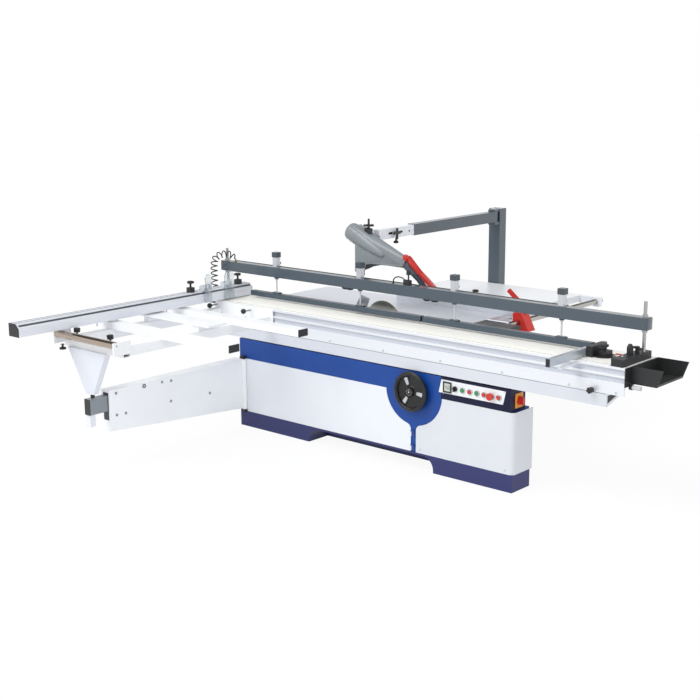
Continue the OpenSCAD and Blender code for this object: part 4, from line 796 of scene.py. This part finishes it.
knobs = {
    "fenceKnobs": ([(-1.3485, -0.671, 1.009), (-1.3485, -0.228, 1.009)], toTop, "fence", 0.0255),
    "frameKnobs": ([(-1.28, -1.675, 0.854), (-0.95, -1.675, 0.854)], toTop, "table", 0.022),
    "mitreKnob": ([(1.608, -0.244, 0.914)], toTop, "mitre", 0.022),
    "cheekKnob": ([(-1.325, -1.755, 0.753)], toFloor, "table", 0.022),
    "tableKnob": ([(-0.157, 0.985, 0.8601)], toTop, "base", 0.024),
    "slideLockKnob": ([(1.649, -0.462, 0.7145)], toFront, "table", 0.0185),
}
cheekStem = {
    "place": (-1.325, -1.755, 0.773),
    "profile": [(0, 0), (12, 0), (12, 3), (6.5, 5), (6.5, 21.5), (0, 21.5)],
}


def makeKnobs(rows, stem):
    for name, (places, facing, body, size) in rows.items():
        scatter(name, knobPart, places, facing, body, "blackPlastic", size)
    bm = bmesh.new()
    latheInto(bm, mm(stem["profile"]), stem["place"], toFloor, 20)
    addMesh("cheekStem", bm, "blackPlastic", "table")


makeKnobs(knobs, cheekStem)
print("fasteners and knobs placed")


# Rulers on the fences

rulers = {
    "quarter": Matrix.Rotation(math.pi / 2, 4, "Z"), "step": 0.01, "width": 0.0012,
    "fence": (-1.33, -2.05, 0.9481), "mitre": (1.53, -0.66, 0.9101), "protractor": (1.6, -0.24, 0.8662),
    "pointer": [(1628, 860.8), (1668, 860.8), (1664, 866), (1632, 866)], "pointerSide": (-0.166, -0.152),
}


def makeRulers(r):
    for name, body, count, length in (("fenceRuler", "fence", 185, 0.018), ("mitreRuler", "mitre", 56, 0.016)):
        place = Matrix.Translation(r[body]) @ r["quarter"]
        marks(name, rulerTree, count, r["step"], length, length, r["width"], place, body, "inkBlack")
    onProtractor = Matrix.Translation(r["protractor"])
    marks("protractorMarks", dialTree, 73, math.radians(2.5), 0.065, 0.01, 0.0009, onProtractor, "mitre", "inkWhite")
    bm = bmesh.new()
    prismInto(bm, mm(r["pointer"]), *r["pointerSide"])
    addMesh("mitrePointer", bm, "redPlastic", "table")


makeRulers(rulers)


# Guard hood: a moulded shell with a rounded back, narrower to the nose, with a dust barrel that fades into its side

hood = {
    "base": 1.322, "side": (-0.093, 0.005), "wall": 0.004, "round": 0.01, "middle": -0.048,
    "narrowFrom": -0.2, "narrowTo": 0.05, "narrow": (0.023, -0.031),
    "outline": [(-370, -205), (-370, 4), (-376, 20), (-412, 34), (-424, 46), (-421, 66), (-410, 88), (-400, 99),
                (-386, 101), (-238, 40), (-200, 24), (8, -62), (32, -70), (42, -80), (44, -94), (28, -124), (26, -150),
                (20, -154), (-200, -154), (-215, -156), (-288, -182), (-299, -190), (-300, -205)],
    "arched": (9, 14), "arch": 0.036, "openFrom": 17, "fold": (10, 18), "cornerSteps": 6,
    "nearEdge": {16: (26, -130), 17: (20, -133), 18: (-200, -135), 19: (-215, -137), 20: (-270, -146),
                 21: (-281, -190), 22: (-282, -205)},
    "farEdge": {20: (-283, -172), 21: (-330, -193), 22: (-362, -205)},
    "barrel": (-0.394, -0.048, 1.3623), "barrelAxis": (-0.919135, 0, 0.393942), "fadeFrom": (-0.135, -0.08, 1.25),
    "barrelProfile": [(0, -70), (46, -70), (57, -62), (61.5, -48), (62, -30), (62, 4), (61, 10), (60, 18),
                      (59.5, 34), (57.5, 44), (53.5, 52), (48, 56), (45, 54), (44, 48), (44, -45), (0, -50)],
    "fadeNose": [(0, -18), (12, -15), (21, -6), (26, 8)],
    "fadeShares": [(0.036, 0.22), (0.048, 0.5), (0.055, 0.76), (0.057, 0.86), (0, 0.9)],
    "knobAt": -0.283, "knobReach": 0.035,
    "blade": ((-1, -0.006), (-0.9, -0.009), (0, -0.006), (0.9, -0.009), (1, -0.006), (1, 0.006), (0.9, 0.009),
              (0, 0.006), (-0.9, 0.009), (-1, 0.006)),
}


def hoodRow(bm, h, k):
    points = [Vector((x, h["base"] + z)) for x, z in mm(h["outline"])]
    y0, y1 = h["side"]
    nearIn, farIn = h["narrow"]

    def narrowing(x):
        return max(0.0, (x - h["narrowFrom"]) / (h["narrowTo"] - h["narrowFrom"]))

    along = (points[(k + 1) % len(points)] - points[k - 1]).normalized()
    inward = Vector((along.y, -along.x))
    half = (y1 - y0 + narrowing(points[k].x) * (farIn - nearIn)) / 2
    full = h["arched"][0] <= k < h["arched"][1]
    depth = min(h["arch"], half) if full else h["round"] if k < h["openFrom"] else 0.0
    spread = (y1 - y0) / 2 if full else depth
    row = []
    for edge, face, step in (("nearEdge", y0, 1), ("farEdge", y1, -1)):
        x, z = mm([h[edge].get(k, h["outline"][k])])[0]
        corner = []
        for j in range(h["cornerSteps"] + 1):
            a = math.pi / 2 * j / h["cornerSteps"]
            flat = Vector((x, h["base"] + z)) + inward * depth * (1 - math.sin(a))
            y = face + step * spread * (1 - math.cos(a))
            y += narrowing(flat.x) * (nearIn + (farIn - nearIn) * (y - y0) / (y1 - y0))
            corner.append(bm.verts.new((flat.x, y, flat.y)))
        row += corner[::step]
    return row


def hoodForm(h):
    bm = bmesh.new()
    rows = [hoodRow(bm, h, k) for k in range(len(h["outline"]))]
    for first, second in zip(rows[:h["openFrom"]], rows[1:]):
        for j in range(len(first) - 1):
            bm.faces.new((first[j], first[j + 1], second[j + 1], second[j]))
    for side in (0, -1):
        cap = bm.faces.new([row[side] for row in rows])
        bmesh.utils.face_split(cap, rows[h["fold"][0]][side], rows[h["fold"][1]][side])
    shell = newObject("hoodForm", finishMesh("hoodForm", bm, "hoodPlastic", 40))
    thick = shell.modifiers.new("wall", "SOLIDIFY")
    thick.thickness = h["wall"]
    thick.offset = -1
    return bakedMesh(shell)


def makeHood(h):
    b, y0, mid = h["base"], h["side"][0], h["middle"]
    bm = bmesh.new()
    bm.from_mesh(hoodForm(h))
    foot, low = Vector(h["barrel"]), Vector(h["fadeFrom"])
    latheInto(bm, mm(h["barrelProfile"]), foot, h["barrelAxis"], 56)
    reach = (foot - low).length
    latheInto(bm, mm(h["fadeNose"]) + [(r, reach * share) for r, share in h["fadeShares"]], low, foot - low, 56)
    tubeInto(bm, [(-0.214, y0 + 0.001, b - 0.1365), (-0.2, y0 + 0.001, b - 0.1345), (0.018, y0 + 0.0212, b - 0.1325)],
             0.005, 12)
    boxInto(bm, (-0.304, -0.012, b - 0.06), (-0.236, 0.0117, b + 0.036), 0.002)
    addMesh("hoodShell", bm, "hoodPlastic", "hood", ["guard_hood"], 38)
    bm = bmesh.new()
    prismInto(bm, [(-0.306, b + 0.06), (-0.262, b + 0.044), (-0.262, b + 0.084), (-0.306, b + 0.092)], -0.064, -0.032)
    rodInto(bm, (h["knobAt"], mid, b + 0.06), (h["knobAt"], mid, b + 0.149), 0.007, 16, 0.002)
    for a in map(math.radians, (20, 80, 140)):
        along, across = Vector((math.cos(a), math.sin(a))), Vector((-math.sin(a), math.cos(a)))
        corners = [Vector((h["knobAt"], mid)) + along * s * h["knobReach"] + across * w for s, w in h["blade"]]
        skinInto(bm, [[bm.verts.new((*c, z)) for c in corners] for z in (b + 0.1, b + 0.111)])
    addMesh("hoodKnob", bm, "blackPlastic", "hood")


makeHood(hood)

deflector = {
    "side": (-0.068, -0.028), "boss": (0.046, 1.247), "bossRadius": 0.021,
    "bar": [(41, 1250), (46.5, 1226), (86, 1190), (164, 1130), (243, 1066), (279, 1068), (214, 1118), (148, 1166),
            (62, 1250), (46, 1257)],
    "strip": [(26.5, 1191), (47, 1221), (70, 1196), (80, 1178), (102, 1162), (132, 1137), (191, 1077), (156, 1074),
              (128, 1106), (96, 1133), (62, 1152), (26.5, 1172)],
    "inset": 0.004, "edge": 0.004,
}


def makeDeflector(d):
    y0, y1 = d["side"]
    (x, z), r = d["boss"], d["bossRadius"]
    bm = bmesh.new()
    bevelCaps(bm, prismInto(bm, mm(d["bar"]), y0, y1), d["edge"], 3)
    rim = [(r - 0.003, 0.01), (r, 0.007), (r, -0.004), (0, -0.004)]
    latheInto(bm, [(0, 0.012), (0.012, 0.012), (0.014, 0.01), *rim], (x, y0, z), toFront, 32)
    addMesh("deflectorArm", bm, "redPlastic", "hood", ["hood_deflector"])
    bm = bmesh.new()
    bevelCaps(bm, prismInto(bm, mm(d["strip"]), y0 + d["inset"], y1 - d["inset"]), d["edge"], 3)
    addMesh("deflectorStrip", bm, "slatePaint", "hood")


makeDeflector(deflector)

slideKnob = {
    "place": (-0.262, 0.21, 1.3262), "hole": (-0.2443, 0.329, 1.357),
    "slot": ((-0.2545, 0.105, 1.3515), (-0.2525, 0.262, 1.3685)),
    "profile": [(0, 0), (6, 0), (6, 22), (14, 26), (17, 30), (17, 38), (13, 41), (0, 41)],
    "holeProfile": [(0, 0.1), (7, 0.1), (7.5, 0), (7.5, -1), (0, -1)],
}


def makeSlideKnob(s):
    bm = bmesh.new()
    latheInto(bm, mm(s["profile"]), s["place"], toFloor, 28)
    latheInto(bm, mm(s["holeProfile"]), s["hole"], toRight, 24)
    boxInto(bm, *s["slot"], 0.0005, 1)
    addMesh("slideKnob", bm, "blackPlastic", "guard_reach")


makeSlideKnob(slideKnob)
print("guard dressed")


# Handwheel: dished wheel with grips, three bright spokes and a dial in its hub

wheel = {
    "centre": (0.402, -0.462, 0.498), "reach": 0.112, "rim": 0.014, "grips": 15, "gripDepth": 0.0022,
    "spokes": (115, 235, 355), "spokeFrom": 0.046, "spokeTo": 0.09, "shaftEnd": -0.064, "shaft": 0.01,
    "dish": [(0, 16), (20, 16), (22, 14.5), (28.5, 14.5), (30, 12), (31, -2), (40, -9), (98, -10), (104, -6),
             (104, -12), (40, -13), (30, -16), (30, -26), (10.5, -26), (10, -34), (0, -34)],
    "cap": [(0, 18.5), (3, 18), (3.8, 16), (0, 15.5)],
}


def makeWheel(w):
    cx, cy, cz = w["centre"]
    bm = bmesh.new()
    rows = []
    for a in turns(120):
        row = []
        for b in turns(18):
            inward = max(0.0, -math.cos(b))
            r = w["rim"] - w["gripDepth"] * inward * (0.5 - 0.5 * math.cos(w["grips"] * a))
            reach = w["reach"] + r * math.cos(b)
            row.append(bm.verts.new((cx + reach * math.cos(a), cy + r * math.sin(b), cz + reach * math.sin(a))))
        rows.append(row)
    skinInto(bm, rows + rows[:1], False)
    latheInto(bm, mm(w["dish"]), w["centre"], toFront, 60)
    rodInto(bm, (cx, cy + 0.03, cz), (cx, w["shaftEnd"], cz), w["shaft"], 24)
    addMesh("wheelBody", bm, "wheelPlastic", "wheel", ["handwheel"], 40)
    bm = bmesh.new()
    near, far, base = w["spokeFrom"], w["spokeTo"], Vector((cx, 0, cz))
    for angle in w["spokes"]:
        along, across = upright(math.radians(angle))
        shape = ((near, -0.009), (far, -0.014), (far + 0.004, 0.002), (far, 0.014), (near, 0.009))
        corners = [base + along * out + across * side for out, side in shape]
        bevelCaps(bm, prismInto(bm, [(p.x, p.z) for p in corners], cy - 0.001, cy + 0.01), 0.0016, 2)
    addMesh("wheelSpokes", bm, "plateSteel", "wheel")
    onHub = Matrix.Translation((cx, cy - 0.0162, cz)) @ Matrix.Rotation(math.pi / 2, 4, "X")
    marks("wheelMarks", dialTree, 40, math.radians(9), 0.0195, 0.005, 0.0006, onHub, "wheel", "inkWhite")
    bm = bmesh.new()
    latheInto(bm, mm(w["cap"]), w["centre"], toFront, 16)
    prismInto(bm, [(cx - 0.0012, cz), (cx + 0.0012, cz), (cx + 0.0003, cz + 0.016), (cx - 0.0003, cz + 0.016)],
              cy - 0.0168, cy - 0.0158)
    addMesh("wheelPointer", bm, "inkWhite", "wheel")


makeWheel(wheel)


# Control fascia: display, button rings, isolator plate

panel = {
    "face": -0.432, "display": ((0.634, 0.691), (0.533, 0.594)), "bezel": (0.003, 0.006), "digits": "450",
    "digitSize": (0.02, 0.01, 0.0018), "digitStep": 0.0135,
    "buttons": [0.776, 0.828, 0.88, 0.932, 0.984, 1.036], "row": 0.563, "isolator": (1.12, -0.348, 0.545),
    "ring": [(12.8, 4), (12.8, 8.3), (15, 8.7), (16.6, 8), (17.6, 0), (12.8, 0), (12.8, 4)],
    "collar": [(26.5, -1), (26.5, 3), (33, 3), (34.5, -1), (26.5, -1)],
}
segments = {"0": "abcdef", "4": "bcfg", "5": "acdfg"}


def makeDisplay(p):
    (x0, x1), (z0, z1) = p["display"]
    out, lip = p["bezel"]
    y = p["face"] - 0.003
    bm = bmesh.new()
    for low, high in (((x0 - out, z0 - out), (x1 + out, z0 + lip)), ((x0 - out, z1 - lip), (x1 + out, z1 + out)),
                      ((x0 - out, z0 + lip), (x0 + lip, z1 - lip)), ((x1 - lip, z0 + lip), (x1 + out, z1 - lip))):
        boxInto(bm, (low[0], y - 0.003, low[1]), (high[0], y + 0.002, high[1]), 0.001)
    addMesh("displayFrame", bm, "blackPlastic", "base")
    bm = bmesh.new()
    boxInto(bm, (x0 + 0.005, y - 0.0012, z0 + 0.005), (x1 - 0.005, y + 0.001, z1 - 0.005), 0.0005)
    addMesh("displayScreen", bm, "screenGlass", "base")
    bm = bmesh.new()
    high, wide, line = p["digitSize"]
    bars = {"a": (0, high, 1), "g": (0, high / 2, 1), "d": (0, 0, 1), "f": (0, high / 2, 0), "e": (0, 0, 0),
            "b": (wide, high / 2, 0), "c": (wide, 0, 0)}
    for k, digit in enumerate(p["digits"]):
        for name in segments[digit]:
            x, z, flat = bars[name]
            width, height = (wide, line) if flat else (line, high / 2)
            left = x0 + 0.01 + k * p["digitStep"] + x - line / 2
            foot = (z0 + z1) / 2 - high / 2 + z - line / 2
            boxInto(bm, (left, y - 0.0016, foot), (left + width, y - 0.001, foot + height), 0.0002, 1)
    addMesh("displayDigits", bm, "inkBlack", "base")


def makePanel(p):
    makeDisplay(p)
    bm = bmesh.new()
    for x in p["buttons"]:
        latheInto(bm, mm(p["ring"]), (x, p["face"], p["row"]), toFront, 32)
    addMesh("buttonRings", bm, "chromeBar", "base")
    bm = bmesh.new()
    x, y, z = p["isolator"]
    boxInto(bm, (x - 0.003, y - 0.04, z - 0.044), (x + 0.0002, y + 0.04, z + 0.044), 0.0012)
    latheInto(bm, mm(p["collar"]), p["isolator"], toRight, 40)
    addMesh("isolatorPlate", bm, "yellowPlastic", "base")
    onPlate = Matrix.Translation((x + 0.0004, y, z)) @ Matrix.Rotation(math.pi / 2, 4, "Y")
    marks("isolatorMarks", dialTree, 2, math.pi / 2, 0.0385, 0.0035, 0.002, onPlate, "base", "inkBlack")


makePanel(panel)
print("controls dressed")


# Press beam: end caps, rubber bumpers below, air tube loop, hose fittings

beam = {
    "x": (-1.54, 1.835), "y": (-0.205, -0.145), "z": (1.027, 1.096), "bumpers": (-0.375, -0.335, 0.303, 0.365),
    "bumper": [(0, 0), (26, 0), (27, 4), (24, 11), (16, 16), (6, 18), (0, 18)],
    "loop": [(22, 1098), (24, 1116), (40, 1132), (66, 1138), (96, 1134), (118, 1122), (126, 1112)],
    "loopY": -0.165, "hoseNuts": (((-1.42, -0.175), 1.0962, 1.104), ((-1.5498, -0.2651), 0.8502, 0.8692)),
    "bars": ((-1.25, 0.265, "press_left"), (0.283, 1.49, "press_right")),
    "capOut": 0.003, "plugIn": 0.012, "barCapOut": 0.004,
}


def makeBeam(b):
    (x0, x1), (y0, y1), (z0, z1) = b["x"], b["y"], b["z"]
    bm = bmesh.new()
    for x, out in ((x0, -1), (x1, 1)):
        cap = x + out * b["capOut"]
        ends = sorted((cap, x - out * b["plugIn"]))
        boxInto(bm, (min(x, cap), y0 + 0.001, z0 + 0.001), (max(x, cap), y1 - 0.001, z1 - 0.001), 0.0012)
        boxInto(bm, (ends[0] + 0.001, y0 + 0.005, z0 + 0.005), (ends[1] - 0.001, y1 - 0.005, z1 - 0.005), 0.001)
    addMesh("beamEndCaps", bm, "slatePaint", "table")
    bm = bmesh.new()
    for x in b["bumpers"]:
        latheInto(bm, mm(b["bumper"]), (x, (y0 + y1) / 2, z0), toFloor, 28)
    addMesh("beamBumpers", bm, "blackPlastic", "table")
    bm = bmesh.new()
    y, loop = b["loopY"], mm(b["loop"])
    tubeInto(bm, [(x, y, z) for x, z in loop], 0.004, 12)
    for x, z in (loop[0], loop[-1]):
        rodInto(bm, (x, y, z1), (x, y, z + 0.006), 0.0065, 12, 0.001)
    addMesh("airTubeLoop", bm, "blackPlastic", "table", smooth=50)
    bm = bmesh.new()
    for place, low, high in b["hoseNuts"]:
        tall = high - low
        latheInto(bm, [(0.0045, 0), (0.0085, 0), (0.0092, 0.001), (0.0092, tall - 0.002), (0.0078, tall - 0.0002),
                       (0.0045, tall - 0.0002), (0.0045, 0)], (*place, low), toTop, 6)
    addMesh("hoseNuts", bm, "brassFitting", "table", smooth=25)
    for low, high, body in b["bars"]:
        bm = bmesh.new()
        for x, cap in ((low, low - b["barCapOut"]), (high, high + b["barCapOut"])):
            boxInto(bm, (min(x, cap), -0.194, 0.8765), (max(x, cap), -0.156, 0.9095), 0.0012)
        addMesh(body + "Caps", bm, "blackPlastic", body)


makeBeam(beam)


# End tray: closed sheets with a low lip at the open side and a rolled rim

tray = {
    "x": (1.844, 2.03), "y": (-0.365, -0.07), "z": (0.764, 0.86), "lean": 0.035, "lip": (0.006, 0.016),
    "wall": 0.003, "seam": 0.0004, "rim": 0.0022,
}


def makeTray(t):
    (x0, x1), (y0, y1), (z0, z1) = t["x"], t["y"], t["z"]
    wall, seam, inset = t["wall"], t["seam"], t["rim"]
    edge = x1 - t["lean"]
    tip = (edge + t["lip"][0], z0 + t["lip"][1])
    bm = bmesh.new()
    for low in (y0, y1 - wall):
        prismInto(bm, [(x0, z1), (x0, z0), (edge, z0), tip, (x1, z1)], low, low + wall)
    boxInto(bm, (x0 + seam, y0 + seam, z0 + seam), (x0 + wall, y1 - seam, z1), 0.0006, 1)
    boxInto(bm, (x0 + 2 * seam, y0 + 2 * seam, z0 + 2 * seam), (edge - 2 * seam, y1 - 2 * seam, z0 + wall), 0.0006, 1)
    lip = [(edge - wall, z0 + seam), (edge - seam, z0 + seam), (tip[0] - seam, tip[1]), (tip[0] - wall, tip[1])]
    prismInto(bm, lip, y0 + seam, y1 - seam)
    top = z1 - inset
    for y in (y0 + inset, y1 - inset):
        tubeInto(bm, [(x0 + inset, y, top), (x1 - 2 * inset, y, top)], inset, 10)
    tubeInto(bm, [(x0 + inset, y0 + inset, top), (x0 + inset, y1 - inset, top)], inset, 10)
    addMesh("trayShell", bm, "trayPlastic", "table", ["end_tray"], 40)


makeTray(tray)
print("beam and tray dressed")


# Motor fins, seen from below and behind

motor = {
    "centre": (-0.06, 0, 0.59), "radius": 0.092, "y": (0.122, 0.296), "fins": 28, "height": 0.006,
    "halfRoot": 0.0012, "sunk": 0.001, "taper": 0.6,
}


def makeMotorFins(m):
    foot, tip = m["radius"] - m["sunk"], m["radius"] + m["height"]
    bm = bmesh.new()
    for a in turns(m["fins"]):
        along, across = upright(a)
        across *= m["halfRoot"]
        corners = [Vector(m["centre"]) + along * out + across * side
                   for out, side in ((foot, -1), (tip, -m["taper"]), (tip, m["taper"]), (foot, 1))]
        prismInto(bm, [(p.x, p.z) for p in corners], *m["y"])
    addMesh("motorFins", bm, "motorPaint", "lift")


makeMotorFins(motor)

for part in (screwPart, nutPart, knobPart, louvrePart):
    bpy.data.objects.remove(part)


# Studio: white floor and world, soft lamps

studio = {
    "lamps": {"keyLamp": (1.6, 35, (-0.35, -0.85, 1.1)), "fillLamp": (0.45, 60, (0.9, -0.5, 0.5))},
    "ambient": 0.78, "ambientTone": (0.97, 0.985, 1, 1), "shadow": 0.08, "floorTone": (0.86, 0.86, 0.86, 1),
    "floorSize": 40, "band": (0.4, 0.52, 0.86, 0.74), "bandTone": (0.12, 0.12, 0.12, 1),
}


def seenBy(tree):
    path = addNode(tree, "ShaderNodeLightPath").outputs
    direct = mathNode(tree, "MAXIMUM", path["Is Camera Ray"], path["Is Glossy Ray"])
    return mathNode(tree, "MAXIMUM", direct, path["Is Transmission Ray"]), path["Is Glossy Ray"]


def closeMix(tree, kind, share, lit, seen):
    mix = addNode(tree, "ShaderNodeMixShader", {0: share, 1: lit.outputs[0], 2: seen.outputs[0]})
    addNode(tree, kind, {0: mix.outputs[0]})


def makeWorld(s):
    scene.world = bpy.data.worlds.new("studioWorld")
    scene.world.use_nodes = True
    tree = scene.world.node_tree
    tree.nodes.clear()
    shown, glossy = seenBy(tree)
    height = splitNode(tree, objectPlace(tree))["Z"]
    band = times(tree, rangeNode(tree, height, *s["band"][:2]), rangeNode(tree, height, *s["band"][2:]))
    shade = mixColour(tree, times(tree, band, glossy), (1, 1, 1, 1), s["bandTone"])
    lit = addNode(tree, "ShaderNodeBackground", {"Strength": s["ambient"], "Color": s["ambientTone"]})
    seen = addNode(tree, "ShaderNodeBackground", {"Strength": 1.0, "Color": shade})
    closeMix(tree, "ShaderNodeOutputWorld", shown, lit, seen)


def makeStudio(s):
    makeWorld(s)
    for name, (strength, angle, source) in s["lamps"].items():
        lamp = bpy.data.lights.new(name, "SUN")
        lamp.energy = strength
        lamp.angle = math.radians(angle)
        newObject(name, lamp).rotation_euler = Vector(source).to_track_quat("Z", "Y").to_euler()
    tree = newLook("floorWhite")
    share = times(tree, seenBy(tree)[0], 1 - s["shadow"])
    dull = addNode(tree, "ShaderNodeBsdfDiffuse", {"Color": s["floorTone"]})
    glow = addNode(tree, "ShaderNodeEmission", {"Strength": 1.0})
    closeMix(tree, "ShaderNodeOutputMaterial", share, dull, glow)
    bm = bmesh.new()
    bmesh.ops.create_grid(bm, x_segments=1, y_segments=1, size=s["floorSize"])
    newObject("studioFloor", finishMesh("studioFloor", bm, "floorWhite"))


makeStudio(studio)
print("studio ready")
